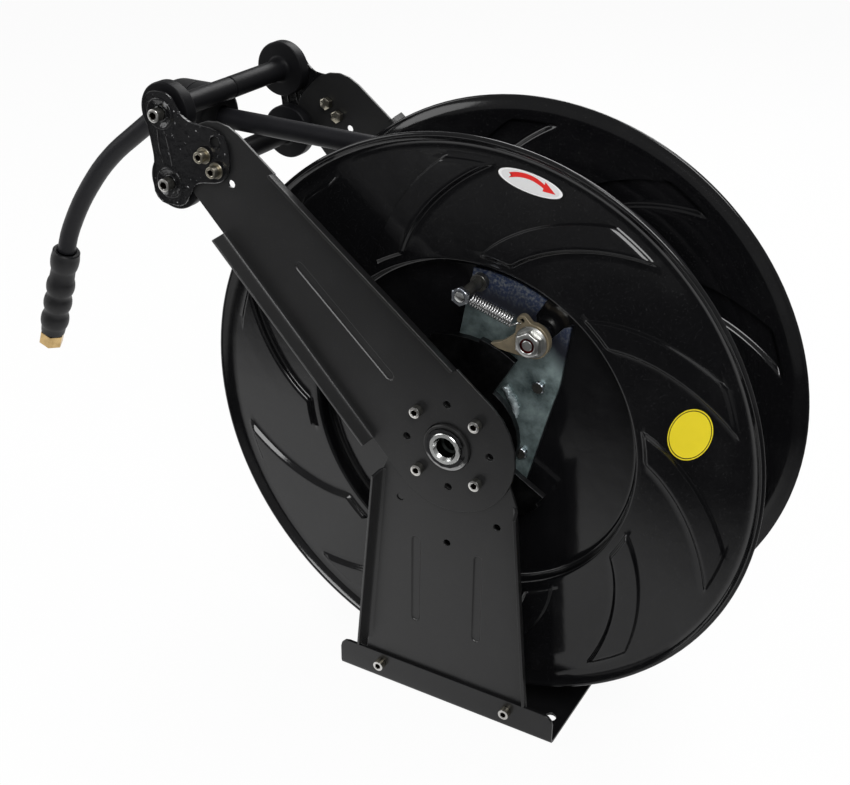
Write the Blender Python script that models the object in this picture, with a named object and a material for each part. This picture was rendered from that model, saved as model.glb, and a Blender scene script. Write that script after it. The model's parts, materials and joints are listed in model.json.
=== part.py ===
# Retractable hose reel: a dished two-disc drum on a two-arm pedestal frame, with
# a ratchet and a sprung pawl, a four-roller hose guide, a hose stop and a hose.
# +Z is up and the origin lies under the middle of the base plate. The drum turns
# about Y. The inlet and the pawl are on the -Y side, and the hose leaves to -X.

import math

import bpy
import bmesh
from mathutils import Matrix, Vector

for old in list(bpy.data.objects):
    bpy.data.objects.remove(old, do_unlink=True)

# Clearance between pieces that touch.
gap = 0.0003

# Frame.
axle_height = 0.270
frame_sheet = 0.0025
post_front = 0.0875
fold_radius = 0.0045
fold_lean = 15.0
flange_length = 0.0095
arm_half_width = 0.0605
arm_upper_slope = 37.9
arm_lower_slope = 46.9
arm_flange_near = 0.039
arm_tip_reach = 0.3295
arm_flange_setback = 0.0805
post_half_width_top = 0.0627
post_half_width_bottom = 0.0799
post_flange_drop = 0.041
post_flange_bottom = 0.043
post_hole_x = 0.0459
post_hole_drop = 0.0648
post_slot_drop = 0.0959
post_rib_x = 0.030
post_rib_drop = 0.1035
post_rib_bottom = 0.084
flange_end_slope = 0.35
arm_rib_start = 0.0737
arm_rib_setback = 0.1413
rib_width = 0.0105
rib_depth = 0.0013

# Base plate.
base_length = 0.216
base_sheet = 0.003
base_bend = 0.003
base_lip_height = 0.031
base_corner = 0.009
base_hole_radius = 0.005
base_hole_x = 0.094
base_hole_y = 0.060
base_screw_x = 0.064
base_screw_z = 0.020

# Drum.
disc_radius = 0.250
disc_sheet = 0.0015
disc_face = 0.0565
dish_radius = 0.148
dish_depth = 0.014
lip_flare = 0.006
lip_width = 0.011
bead_radius = 0.0019
vane_count = 10
vane_height = 0.004
vane_inner = 0.154
vane_outer = 0.232
vane_angle = 11.2
vane_twist = 27.9
vane_start = 10.3
barrel_wall = 0.003
drum_hub_radius = 0.030
hub_flange_radius = 0.045

# Axle, hubs and inlet.
axle_radius = 0.018
bolt_circle = 0.038
hub_radius = 0.048
hub_flange = 0.005
hub_neck_radius = 0.032
hub_seat_radius = 0.026
collar_radius = 0.0206
collar_reach = 0.0935
fitting_radius = 0.014
inlet_bore_radius = 0.009
inlet_bore_depth = 0.0165
screw_hole_radius = 0.0035
screw_radius = 0.0031
screw_head_radius = 0.0049
screw_head_height = 0.008

# Ratchet, pawl and their carrier plate.
ratchet_face = 0.060
ratchet_thickness = 0.006
ratchet_radius = 0.087
tooth_step = 0.003
tooth_pitch = 30.0
sector_start = 60.0
sector_span = 90.0
first_step = 83.0
ratchet_root_radius = 0.048
pawl_x = 0.0555
pawl_z = 0.095
pawl_eye_radius = 0.0148
pawl_tab_x = -0.0089
pawl_tab_z = 0.0156
pawl_tab_radius = 0.0048
pawl_bore_radius = 0.0063
carrier_thickness = 0.003
upper_bolt_x = 0.058
upper_bolt_z = 0.050
lower_bolt_x = 0.046
lower_bolt_z = -0.014
spring_post_x = 0.0035
spring_post_inset = 0.0185
spring_post_radius = 0.0046
spring_post_reach = 0.0835
spring_nut_width = 0.0045
spring_far_plane = 0.0765
spring_near_plane = 0.0662
spring_wire_radius = 0.0006
spring_coil_radius = 0.0049
spring_start_room = 0.009
spring_end_room = 0.005
spring_curls = 16

# Spring motor housing on the far side.
canister_radius = 0.120
canister_reach = 0.074

# Roller guide.
upper_roller_out = 0.0262
upper_roller_rise = 0.0115
lower_roller_out = 0.0217
lower_roller_drop = 0.0462
roller_tube_radius = 0.0095
roller_flange_radius = 0.0245
roller_flange_width = 0.0125
roller_length = 0.087
roller_bolt_radius = 0.004
roller_head_radius = 0.0056
roller_head_height = 0.0075
roller_nut_height = 0.0065
roller_bolt_end = 0.002
bracket_thickness = 0.003
bracket_eye = 0.0203
guide_bolt_setback = 0.0236
guide_bolt_pitch = 0.0157
guide_hole_aside = 0.0165

# Hose.
hose_radius = 0.009
core_thickness = 0.0243
wind_pitch = 0.0185
crossing_pitch = 0.0276
turn_points = 24
stub_length = 0.084
stop_radius = 0.028
stop_face_radius = 0.021
stop_out = 0.0340
stop_length = 0.0572
stop_drop = 0.0157
run_into_stop = 0.0227
run_entry_back = 0.0153
run_spacing = 0.026
tail_spacing = 0.022
grip_out = 0.1535
grip_fall = 0.1685
grip_radius = 0.0122
grip_bulge = 0.0024
grip_length = 0.1058
nut_flats = 0.022
nut_length = 0.014

hub_point = Vector((0.0, 0.0, axle_height))
arm_back = post_front + gap
arm_front = arm_back + frame_sheet
post_back = post_front - frame_sheet
bracket_back = arm_front + gap
bracket_front = bracket_back + bracket_thickness
dish_floor = disc_face - dish_depth
carrier_face = dish_floor + gap + carrier_thickness
hub_face = post_back - gap
dish_back = dish_radius + disc_sheet
flat_part = math.cos(math.pi / turn_points)
barrel_bore = (dish_back + gap) / flat_part
core_bore = barrel_bore + barrel_wall + gap
wind_radius = core_bore + core_thickness + hose_radius + gap
spring_post_z = dish_radius - spring_post_inset
post_flange_top = axle_height - post_flange_drop
arm_flange_far = arm_tip_reach - arm_flange_setback
arm_axis = math.radians(180.0 - (arm_upper_slope + arm_lower_slope) / 2.0)
guide_x = arm_tip_reach * math.cos(arm_axis)
guide_z = axle_height + arm_tip_reach * math.sin(arm_axis)
upper_roller_x = guide_x - upper_roller_out
upper_roller_z = guide_z + upper_roller_rise
lower_roller_x = guide_x - lower_roller_out
lower_roller_z = guide_z - lower_roller_drop
stop_near_x = guide_x - stop_out
stop_far_x = stop_near_x - stop_length
stop_z = guide_z - stop_drop
wind_end_y = disc_face - disc_sheet - hose_radius - gap


def make_material(name, colour, roughness, metallic):
    material = bpy.data.materials.get(name)
    if material is None:
        material = bpy.data.materials.new(name)
        material.use_nodes = True
        shader = material.node_tree.nodes["Principled BSDF"]
        shader.inputs["Base Color"].default_value = (*colour, 1.0)
        shader.inputs["Roughness"].default_value = roughness
        shader.inputs["Metallic"].default_value = metallic
    return material


black_paint = make_material("black_paint", (0.012, 0.012, 0.013), 0.38, 0.0)
black_steel = make_material("black_steel", (0.02, 0.02, 0.022), 0.42, 0.6)
zinc = make_material("zinc", (0.62, 0.62, 0.6), 0.3, 1.0)
yellow_zinc = make_material("yellow_zinc", (0.55, 0.45, 0.2), 0.32, 1.0)
black_rubber = make_material("black_rubber", (0.018, 0.018, 0.02), 0.55, 0.0)
black_nylon = make_material("black_nylon", (0.015, 0.015, 0.016), 0.45, 0.0)
spring_steel = make_material("spring_steel", (0.4, 0.4, 0.4), 0.3, 1.0)


def empty(name, location):
    pivot = bpy.data.objects.new(name, None)
    pivot.location = location
    pivot.empty_display_size = 0.02
    bpy.context.collection.objects.link(pivot)
    return pivot


drum_pivot = empty("drum_axis", hub_point)
pawl_pivot = empty("pawl_axis", (pawl_x, 0.0, pawl_z))
pawl_pivot.parent = drum_pivot


def finish(name, bm, material, smooth=35.0, parent=None, origin=(0, 0, 0)):
    """Turns a bmesh in world coordinates into an object about its own origin."""
    bmesh.ops.recalc_face_normals(bm, faces=bm.faces)
    bmesh.ops.translate(bm, verts=bm.verts, vec=-Vector(origin))
    mesh = bpy.data.meshes.new(name)
    bm.to_mesh(mesh)
    bm.free()
    mesh.materials.append(material)
    mesh.shade_smooth()
    mesh.set_sharp_from_angle(angle=math.radians(smooth))
    obj = bpy.data.objects.new(name, mesh)
    bpy.context.collection.objects.link(obj)
    if parent is None:
        obj.location = origin
    else:
        base = Vector(parent.location)
        if parent.parent is not None:
            base += Vector(parent.parent.location)
        obj.parent = parent
        obj.location = Vector(origin) - base
    return obj


def combine(obj, tool_bm, operation, name):
    """Adds a Boolean that cuts or joins a tool, which stays in as a hidden guide."""
    bmesh.ops.recalc_face_normals(tool_bm, faces=tool_bm.faces)
    mesh = bpy.data.meshes.new(name)
    tool_bm.to_mesh(mesh)
    tool_bm.free()
    tool = bpy.data.objects.new(name, mesh)
    tool.hide_render = True
    tool.display_type = "WIRE"
    bpy.context.collection.objects.link(tool)
    modifier = obj.modifiers.new(name, "BOOLEAN")
    modifier.operation = operation
    modifier.solver = "EXACT"
    modifier.object = tool
    return obj


def mirrored(bm):
    for vert in bm.verts:
        vert.co.y = -vert.co.y
    bmesh.ops.reverse_faces(bm, faces=bm.faces)
    return bm


def turned(profile, centre, axis, steps=24, turn=0.0):
    """Revolves (radius, height) points about an axis. A profile that starts and
    ends on the axis is a solid, and any other is closed to a ring. A point with a
    third value has that many flats."""
    axis = Vector(axis).normalized()
    side = axis.orthogonal().normalized()
    if abs(axis.z) < 0.9:
        side = (Vector((0, 0, 1)) - axis * axis.z).normalized()
    other = axis.cross(side)
    centre = Vector(centre)
    bm = bmesh.new()
    rings = []
    for point in profile:
        radius, height = point[0], point[1]
        if radius == 0.0:
            rings.append([bm.verts.new(centre + axis * height)])
            continue
        ring = []
        for k in range(steps):
            angle = 2.0 * math.pi * k / steps + math.radians(turn)
            reach = radius
            if len(point) == 3:
                flats = point[2]
                part = (k * flats / steps) % 1.0
                half = math.pi / flats
                reach = radius * math.cos(half) / math.cos(2 * half * part - half)
            ring.append(bm.verts.new(centre + axis * height
                                     + side * reach * math.cos(angle)
                                     + other * reach * math.sin(angle)))
        rings.append(ring)
    pairs = list(zip(rings, rings[1:]))
    if len(rings[0]) > 1:
        pairs.append((rings[-1], rings[0]))
    for low, high in pairs:
        for k in range(steps):
            n = (k + 1) % steps
            if len(low) == 1:
                bm.faces.new((low[0], high[n], high[k]))
            elif len(high) == 1:
                bm.faces.new((low[k], low[n], high[0]))
            else:
                bm.faces.new((low[k], low[n], high[n], high[k]))
    return bm


def tube_along(name, points, radius, sides_resolution, material):
    """A round tube on a POLY spline with flat filled ends."""
    curve = bpy.data.curves.new(name, "CURVE")
    curve.dimensions = "3D"
    curve.bevel_depth = radius
    curve.bevel_resolution = sides_resolution
    curve.use_fill_caps = True
    curve.twist_mode = "MINIMUM"
    curve.resolution_u = 1
    spline = curve.splines.new("POLY")
    spline.points.add(len(points) - 1)
    for spot, point in zip(spline.points, points):
        spot.co = (*point, 1.0)
    spline.use_smooth = True
    curve.materials.append(material)
    obj = bpy.data.objects.new(name, curve)
    bpy.context.collection.objects.link(obj)
    return obj


def smooth_route(controls, spacing):
    """Reads evenly spaced points from a Catmull-Rom curve through the controls."""
    pts = [Vector(p) for p in controls]
    pts = [2 * pts[0] - pts[1]] + pts + [2 * pts[-1] - pts[-2]]
    dense = []
    for a, b, c, d in zip(pts, pts[1:], pts[2:], pts[3:]):
        for k in range(24):
            t = k / 24.0
            dense.append(0.5 * (2 * b + (c - a) * t
                                + (2 * a - 5 * b + 4 * c - d) * t * t
                                + (3 * b - a - 3 * c + d) * t ** 3))
    dense.append(pts[-2])
    length = [0.0]
    for p, q in zip(dense, dense[1:]):
        length.append(length[-1] + (q - p).length)
    count = max(2, round(length[-1] / spacing))
    route = []
    spot = 0
    for k in range(count + 1):
        target = length[-1] * k / count
        while spot < len(length) - 2 and length[spot + 1] < target:
            spot += 1
        part = (target - length[spot]) / (length[spot + 1] - length[spot])
        route.append(dense[spot].lerp(dense[spot + 1], min(1.0, part)))
    return route


def rounded(corners, steps=4):
    """Fillets a closed outline given as (x, z, radius) corners."""
    path = []
    count = len(corners)
    for i in range(count):
        here = Vector(corners[i][:2])
        before = Vector(corners[i - 1][:2]) - here
        after = Vector(corners[(i + 1) % count][:2]) - here
        radius = corners[i][2]
        if radius == 0.0:
            path.append(here)
            continue
        before_dir = before.normalized()
        after_dir = after.normalized()
        half = before_dir.angle(after_dir) / 2.0
        reach = radius / math.tan(half)
        reach = min(reach, 0.49 * before.length, 0.49 * after.length)
        radius = reach * math.tan(half)
        middle = here + (before_dir + after_dir).normalized() * (radius / math.sin(half))
        first = here + before_dir * reach - middle
        last = here + after_dir * reach - middle
        start = math.atan2(first.y, first.x)
        sweep = math.atan2(last.y, last.x) - start
        sweep = (sweep + math.pi) % (2 * math.pi) - math.pi
        for k in range(steps + 1):
            angle = start + sweep * k / steps
            path.append(middle + Vector((math.cos(angle), math.sin(angle))) * radius)
    return path


def arc(centre, radius, start, end, steps):
    """Points on an arc, with its angles in degrees."""
    points = []
    for k in range(steps + 1):
        angle = math.radians(start + (end - start) * k / steps)
        points.append(Vector((centre[0] + radius * math.cos(angle),
                              centre[1] + radius * math.sin(angle))))
    return points


def circle(x, z, radius, steps=12):
    return arc((x, z), radius, 0.0, 360.0 * (steps - 1) / steps, steps - 1)


def plate(outline, holes, front, thickness):
    """A flat plate square to Y, its front at -front and its back nearer the drum."""
    bm = bmesh.new()
    for loop in [outline] + holes:
        verts = [bm.verts.new((p[0], -front, p[1])) for p in loop]
        for a, b in zip(verts, verts[1:] + verts[:1]):
            bm.edges.new((a, b))
    bmesh.ops.triangle_fill(bm, use_beauty=True, use_dissolve=False, edges=bm.edges[:])
    result = bmesh.ops.extrude_face_region(bm, geom=bm.faces[:])
    moved = [item for item in result["geom"] if isinstance(item, bmesh.types.BMVert)]
    bmesh.ops.translate(bm, verts=moved, vec=(0.0, thickness, 0.0))
    bmesh.ops.recalc_face_normals(bm, faces=bm.faces)
    return bm


def bend_flange(bm, start, end, front, lean, radius, length, steps=2):
    """Folds a flange from the plate's edge between two (x, z) points towards -Y."""
    a = Vector((start[0], 0.0, start[1]))
    b = Vector((end[0], 0.0, end[1]))
    along = (b - a).normalized()
    middle = (a + b) / 2.0
    best = None
    for face in bm.faces:
        spot = face.calc_center_median()
        flat = Vector((spot.x, 0.0, spot.z))
        if abs(face.normal.y) < 0.1 and (flat - middle).length < 1e-5:
            best = face
    outward = best.normal.copy()
    pivot = Vector((middle.x, -(front + radius), middle.z))
    turn = outward.cross(Vector((0.0, -1.0, 0.0)))
    face = best
    for k in range(steps):
        result = bmesh.ops.extrude_face_region(bm, geom=[face] + face.edges[:])
        face = [f for f in result["geom"] if isinstance(f, bmesh.types.BMFace)][0]
        bmesh.ops.rotate(bm, cent=pivot, verts=face.verts,
                         matrix=Matrix.Rotation(math.radians(90.0 - lean) / steps, 3, turn))
    result = bmesh.ops.extrude_face_region(bm, geom=[face] + face.edges[:])
    face = [f for f in result["geom"] if isinstance(f, bmesh.types.BMFace)][0]
    lean_angle = math.radians(lean)
    way = outward * math.sin(lean_angle) + Vector((0.0, -1.0, 0.0)) * math.cos(lean_angle)
    bmesh.ops.translate(bm, verts=face.verts, vec=way * length)
    return face


def stadium(start, end, width, front, back, draft):
    """A long round-ended block between two (x, z) points, narrower at its back."""
    a = Vector(start)
    b = Vector(end)
    way = math.degrees(math.atan2(b.y - a.y, b.x - a.x))
    bm = bmesh.new()
    rings = []
    for depth, half in ((front, width / 2.0), (back, width / 2.0 - draft)):
        loop = arc(b, half, way - 90.0, way + 90.0, 4) + arc(a, half, way + 90.0, way + 270.0, 4)
        rings.append([bm.verts.new((p.x, -depth, p.y)) for p in loop])
    count = len(rings[0])
    for k in range(count):
        n = (k + 1) % count
        bm.faces.new((rings[0][k], rings[0][n], rings[1][n], rings[1][k]))
    bm.faces.new(rings[0])
    bm.faces.new(rings[1])
    return bm


def press_rib(obj, start, end, front, thickness, side, label):
    """Presses a groove into the front of a sheet and raises its back behind it."""
    draft = rib_depth * 0.7
    groove = stadium(start, end, rib_width, front + rib_depth,
                     front - rib_depth, 2 * draft)
    ridge = stadium(start, end, rib_width + 2 * draft,
                    front - thickness + 0.5 * rib_depth,
                    front - thickness - rib_depth, 1.5 * draft)
    if side > 0:
        groove = mirrored(groove)
        ridge = mirrored(ridge)
    combine(obj, ridge, "UNION", label + "_ridge")
    combine(obj, groove, "DIFFERENCE", label + "_groove")


side_names = {-1: "front", 1: "rear"}


def face_bm(bm, side):
    return bm if side < 0 else mirrored(bm)


def build_base():
    half_depth = arm_back
    flat = half_depth - base_bend
    half = base_length / 2.0
    corner = base_bend + 0.002
    bm = bmesh.new()
    outline = [(half, flat), (-half, flat), (-half, -flat), (half, -flat)]
    holes = [circle(sx * base_hole_x, sy * base_hole_y, base_hole_radius)
             for sx in (-1, 1) for sy in (-1, 1)]
    for loop in [outline] + holes:
        verts = [bm.verts.new((p[0], p[1], 0.0)) for p in loop]
        for a, b in zip(verts, verts[1:] + verts[:1]):
            bm.edges.new((a, b))
    bmesh.ops.triangle_fill(bm, use_beauty=True, use_dissolve=False, edges=bm.edges[:])
    result = bmesh.ops.extrude_face_region(bm, geom=bm.faces[:])
    moved = [item for item in result["geom"] if isinstance(item, bmesh.types.BMVert)]
    bmesh.ops.translate(bm, verts=moved, vec=(0.0, 0.0, base_sheet))
    bmesh.ops.recalc_face_normals(bm, faces=bm.faces)
    tops = []
    for sy in (-1, 1):
        best = max((f for f in bm.faces if abs(f.normal.z) < 0.1 and len(f.verts) == 4),
                   key=lambda f: sy * f.calc_center_median().y * (f.calc_area() > 1e-4))
        pivot = Vector((0.0, sy * flat, base_sheet + base_bend))
        turn = Vector((0.0, sy, 0.0)).cross(Vector((0.0, 0.0, 1.0)))
        for k in range(3):
            result = bmesh.ops.extrude_face_region(bm, geom=[best] + best.edges[:])
            best = [f for f in result["geom"] if isinstance(f, bmesh.types.BMFace)][0]
            bmesh.ops.rotate(bm, cent=pivot, verts=best.verts,
                             matrix=Matrix.Rotation(math.radians(30.0), 3, turn))
        result = bmesh.ops.extrude_face_region(bm, geom=[best] + best.edges[:])
        best = [f for f in result["geom"] if isinstance(f, bmesh.types.BMFace)][0]
        rise = base_lip_height - base_sheet - base_bend
        bmesh.ops.translate(bm, verts=best.verts, vec=(0.0, 0.0, rise))
        tops.append(best)
    ends = [e for f in tops for e in f.edges
            if abs(e.verts[0].co.x - e.verts[1].co.x) < 1e-6]
    bmesh.ops.bevel(bm, geom=ends, offset=base_corner, segments=3, profile=0.5,
                    affect="EDGES", clamp_overlap=True)
    obj = finish("base_plate", bm, black_paint)
    for side in (-1, 1):
        holes_bm = bmesh.new()
        for sx in (-1, 1):
            drill(holes_bm, sx * base_screw_x, base_screw_z, screw_hole_radius,
                  side * (half_depth - 0.004), side * (half_depth + 0.008))
        combine(obj, holes_bm, "DIFFERENCE", "base_lip_holes_" + side_names[side])
    return obj


def drill(bm, x, z, radius, y_from, y_to, steps=8):
    """Adds a closed cylinder along Y to a cutter."""
    result = bmesh.ops.create_cone(bm, cap_ends=True, segments=steps, radius1=radius,
                                   radius2=radius, depth=abs(y_to - y_from))
    bmesh.ops.rotate(bm, cent=(0, 0, 0), verts=result["verts"],
                     matrix=Matrix.Rotation(math.radians(90.0), 3, "X"))
    bmesh.ops.translate(bm, verts=result["verts"], vec=(x, (y_from + y_to) / 2.0, z))


def hub_holes():
    holes = [circle(0.0, axle_height, collar_radius + 2 * gap, 16)]
    for k in range(8):
        angle = math.radians(45.0 * k + 2.0)
        holes.append(circle(bolt_circle * math.cos(angle),
                            axle_height + bolt_circle * math.sin(angle),
                            screw_hole_radius, 8))
    return holes


def fold_reach():
    return fold_radius * math.cos(math.radians(fold_lean))


def post_half_width(z):
    part = (post_flange_top - z) / (post_flange_top - post_flange_bottom)
    return post_half_width_top + (post_half_width_bottom - post_half_width_top) * part


def build_post(side):
    inset = fold_reach()
    foot = base_sheet + base_bend + gap
    top_z, low_z = post_flange_top, post_flange_bottom
    right = [(post_half_width(foot), foot),
             (post_half_width(low_z), low_z),
             (post_half_width(low_z) - inset, low_z),
             (post_half_width(top_z) - inset, top_z),
             (post_half_width(top_z), top_z)]
    head = arc((0.0, axle_height), arm_half_width - 0.002, -20.0, 200.0, 8)
    left = [(-x, z) for x, z in reversed(right)]
    outline = [Vector(p) for p in right] + head + [Vector(p) for p in left]
    holes = hub_holes()
    holes += [circle(x, z, screw_hole_radius - 0.0002, 8)
              for x, z in ((post_hole_x, axle_height - post_hole_drop),
                           (-post_hole_x, axle_height - post_hole_drop),
                           (0.0, axle_height - post_slot_drop))]
    holes += [circle(sx * base_screw_x, base_screw_z, screw_hole_radius, 8)
              for sx in (-1, 1)]
    bm = plate(outline, holes, post_front, frame_sheet)
    for edge in (right, left):
        pair = (edge[2], edge[3]) if edge is right else (edge[1], edge[2])
        bend_flange(bm, pair[0], pair[1], post_front, fold_lean, fold_radius,
                    flange_length)
    for vert in bm.verts:
        deep = -vert.co.y - post_front
        if deep > 0.001 and vert.co.z < low_z + 0.01:
            vert.co.z -= flange_end_slope * deep
        if deep > 0.001 and vert.co.z > top_z - 0.01:
            vert.co.z -= flange_end_slope * deep
    obj = finish(side_names[side] + "_post", face_bm(bm, side), black_paint)
    for label, sx in (("left", -1), ("right", 1)):
        press_rib(obj, (sx * post_rib_x, axle_height - post_rib_drop),
                  (sx * post_rib_x, post_rib_bottom), post_front,
                  frame_sheet, side, obj.name + "_rib_" + label)
    return obj


def arm_point(slope, sign, s, d):
    """A point at distance s towards the hub's far side along an arm edge that runs
    down at a slope, and at distance d from the axle, above it or below it."""
    angle = math.radians(-slope)
    u = Vector((math.cos(angle), math.sin(angle)))
    n = Vector((-u.y, u.x)) * sign
    return Vector((0.0, axle_height)) + u * s + n * d


def from_tip(back, across=0.0):
    """A point set back from the arm's tip towards the axle, and across the arm."""
    turn = arm_axis
    return (guide_x - back * math.cos(turn) + across * math.sin(turn),
            guide_z - back * math.sin(turn) - across * math.cos(turn))


def build_arm(side):
    wide = arm_half_width
    fold = arm_half_width - fold_reach()
    near, far = -arm_flange_near, -arm_flange_far
    up = lambda s, d: arm_point(arm_upper_slope, 1, s, d)
    low = lambda s, d: arm_point(arm_lower_slope, -1, s, d)
    end_dir = Vector((math.cos(arm_axis), math.sin(arm_axis)))

    def tip(make):
        a = make(0.0, wide) - Vector((0.0, axle_height))
        b = make(-1.0, wide) - Vector((0.0, axle_height))
        way = b - a
        t = (arm_tip_reach - a.dot(end_dir)) / way.dot(end_dir)
        return a + way * t + Vector((0.0, axle_height))

    corners = [(*up(near, wide), 0.0), (*up(near, fold), 0.0),
               (*up(far, fold), 0.0), (*up(far, wide), 0.0),
               (*tip(up), 0.045), (*tip(low), 0.020),
               (*low(far, wide), 0.0), (*low(far, fold), 0.0),
               (*low(near, fold), 0.0), (*low(near, wide), 0.0)]
    outline = rounded(corners, 5)
    outline += arc((0.0, axle_height), wide, 270.0 - arm_lower_slope,
                   450.0 - arm_upper_slope, 14)
    holes = hub_holes()
    for number in range(3):
        spot = from_tip(guide_bolt_setback + guide_bolt_pitch * number)
        holes.append(circle(*spot, screw_hole_radius, 8))
    bm = plate(outline, holes, arm_front, frame_sheet)
    bend_flange(bm, up(near, fold), up(far, fold), arm_front, fold_lean, fold_radius,
                flange_length)
    bend_flange(bm, low(far, fold), low(near, fold), arm_front, fold_lean, fold_radius,
                flange_length)
    obj = finish(side_names[side] + "_arm", face_bm(bm, side), black_paint)
    press_rib(obj, from_tip(arm_rib_setback), from_tip(arm_tip_reach - arm_rib_start),
              arm_front, frame_sheet, side, obj.name + "_rib")
    return obj


def build_bracket(side):
    e = bracket_eye
    ux, uz, lx, lz = upper_roller_x, upper_roller_z, lower_roller_x, lower_roller_z
    bx, bz = from_tip(guide_bolt_setback + guide_bolt_pitch)
    corners = [(ux - 0.96 * e, uz + e, 0.9 * e), (lx - 0.78 * e, lz + 0.98 * e, 1.5 * e),
               (lx - 1.03 * e, lz - 1.03 * e, 0.9 * e), (lx + 0.69 * e, lz - 1.03 * e, 0.7 * e),
               (lx + 1.42 * e, lz + 0.15 * e, 0.6 * e), (bx + 0.71 * e, bz - 0.56 * e, e),
               (bx + 0.71 * e, bz + 1.75 * e, e), (ux + 1.16 * e, uz - 0.04 * e, e),
               (ux + 0.62 * e, uz + e, 0.7 * e)]
    outline = rounded(corners, 4)
    holes = [circle(upper_roller_x, upper_roller_z, roller_bolt_radius + gap, 12),
             circle(lower_roller_x, lower_roller_z, roller_bolt_radius + gap, 12)]
    for spot in (from_tip(guide_bolt_setback),
                 from_tip(guide_bolt_setback + guide_bolt_pitch),
                 from_tip(guide_bolt_setback, guide_hole_aside)):
        holes.append(circle(*spot, screw_hole_radius, 8))
    bm = plate(outline, holes, bracket_front, bracket_thickness)
    return finish(side_names[side] + "_guide_bracket", face_bm(bm, side), black_paint)


def screw(name, x, z, head_at, reach, side, nut=None, material=black_steel, parent=None):
    """A cap screw along Y with its head's underside at head_at. Its shank runs in
    to reach, and a nut at a given depth makes one body with it."""
    head = screw_head_radius
    top = head_at + screw_head_height
    profile = [(0.0, top), (head, top), (head, head_at), (screw_radius, head_at)]
    steps = 8
    if nut is None:
        profile += [(screw_radius, reach), (0.0, reach)]
    else:
        steps = 12
        profile += [(screw_radius, nut), (0.0058, nut, 6), (0.0058, reach, 6), (0.0, reach)]
    bm = turned(profile, (x, 0.0, z), (0.0, float(side), 0.0), steps)
    return finish(name, bm, material, parent=parent, origin=(x, 0.0, z))


def build_frame_screws():
    for side in (-1, 1):
        word = side_names[side]
        for label, sx in (("left", -1), ("right", 1)):
            screw(word + "_base_screw_" + label, sx * base_screw_x, base_screw_z,
                  arm_back + base_sheet + gap, post_back - 0.002, side)
        for number, label in enumerate(("outer", "inner")):
            x, z = from_tip(guide_bolt_setback + guide_bolt_pitch * number)
            screw(word + "_bracket_bolt_" + label, x, z, bracket_front + gap,
                  arm_back - 0.006, side, nut=arm_back - gap)
        for number in range(4):
            angle = math.radians(47.0 + 90.0 * number)
            screw(word + "_hub_screw_" + str(number + 1),
                  bolt_circle * math.cos(angle),
                  axle_height + bolt_circle * math.sin(angle),
                  arm_front + gap, hub_face - hub_flange + 0.0005, side)


def build_hub(side):
    """The bearing housing bolted behind the post. It carries the axle."""
    flange_in = hub_face - hub_flange
    shoulder = ratchet_face + gap
    end = ratchet_face - ratchet_thickness - 0.001
    step = flange_in - 0.004
    profile = [(collar_radius + gap, hub_face), (hub_radius, hub_face), (hub_radius, flange_in),
               (hub_neck_radius, flange_in), (hub_neck_radius, shoulder),
               (hub_seat_radius, shoulder), (hub_seat_radius, end),
               (axle_radius + gap, end), (axle_radius + gap, step),
               (collar_radius + gap, step)]
    if side > 0:
        del profile[4:6]
        profile[3] = (hub_seat_radius, flange_in)
    bm = turned(profile, hub_point, (0.0, float(side), 0.0), 20)
    obj = finish(side_names[side] + "_hub", bm, black_paint)
    holes = bmesh.new()
    for number in range(4):
        angle = math.radians(47.0 + 90.0 * number)
        drill(holes, bolt_circle * math.cos(angle),
              axle_height + bolt_circle * math.sin(angle), screw_radius + gap,
              side * (flange_in - 0.003), side * (hub_face + 0.003), 8)
    combine(obj, holes, "DIFFERENCE", obj.name + "_screw_holes")
    return obj


def build_axle():
    end = hub_face - hub_flange - 0.004 - gap
    profile = [(0.0, -end), (axle_radius, -end), (axle_radius, end), (0.0, end)]
    finish("axle_shaft", turned(profile, hub_point, (0, 1, 0), 20), black_steel)


def build_inlet():
    seat = hub_face - hub_flange - 0.004
    front = collar_reach + 0.0025
    bottom = front - inlet_bore_depth
    fitting = [(0.0, bottom), (inlet_bore_radius, bottom), (inlet_bore_radius, front - 0.001),
               (inlet_bore_radius + 0.001, front), (fitting_radius, front),
               (fitting_radius, seat + gap), (0.0, seat + gap)]
    bm = turned(fitting, hub_point, (0, -1, 0), 20)
    finish("inlet_fitting", bm, zinc)
    collar = [(fitting_radius + gap, seat + gap), (fitting_radius + gap, collar_reach),
              (collar_radius - 0.0015, collar_reach), (collar_radius, collar_reach - 0.0015),
              (collar_radius, seat + gap)]
    bm = turned(collar, hub_point, (0, -1, 0), 20)
    finish("inlet_collar", bm, black_steel)
    outer = arc((0.0, axle_height), fitting_radius + 0.0035, 20.0, 340.0, 12)
    inner = arc((0.0, axle_height), fitting_radius + 2 * gap, 340.0, 20.0, 12)
    bm = plate(outer + inner, [], collar_reach + gap + 0.0012, 0.0012)
    finish("inlet_snap_ring", bm, black_steel)
    cap = [(0.0, collar_reach - 0.002), (collar_radius - 0.006, collar_reach - 0.002),
           (collar_radius - 0.005, collar_reach), (collar_radius, collar_reach),
           (collar_radius, seat + gap), (0.0, seat + gap)]
    bm = turned(cap, hub_point, (0, 1, 0), 20)
    finish("axle_end_cap", bm, black_steel)


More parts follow.
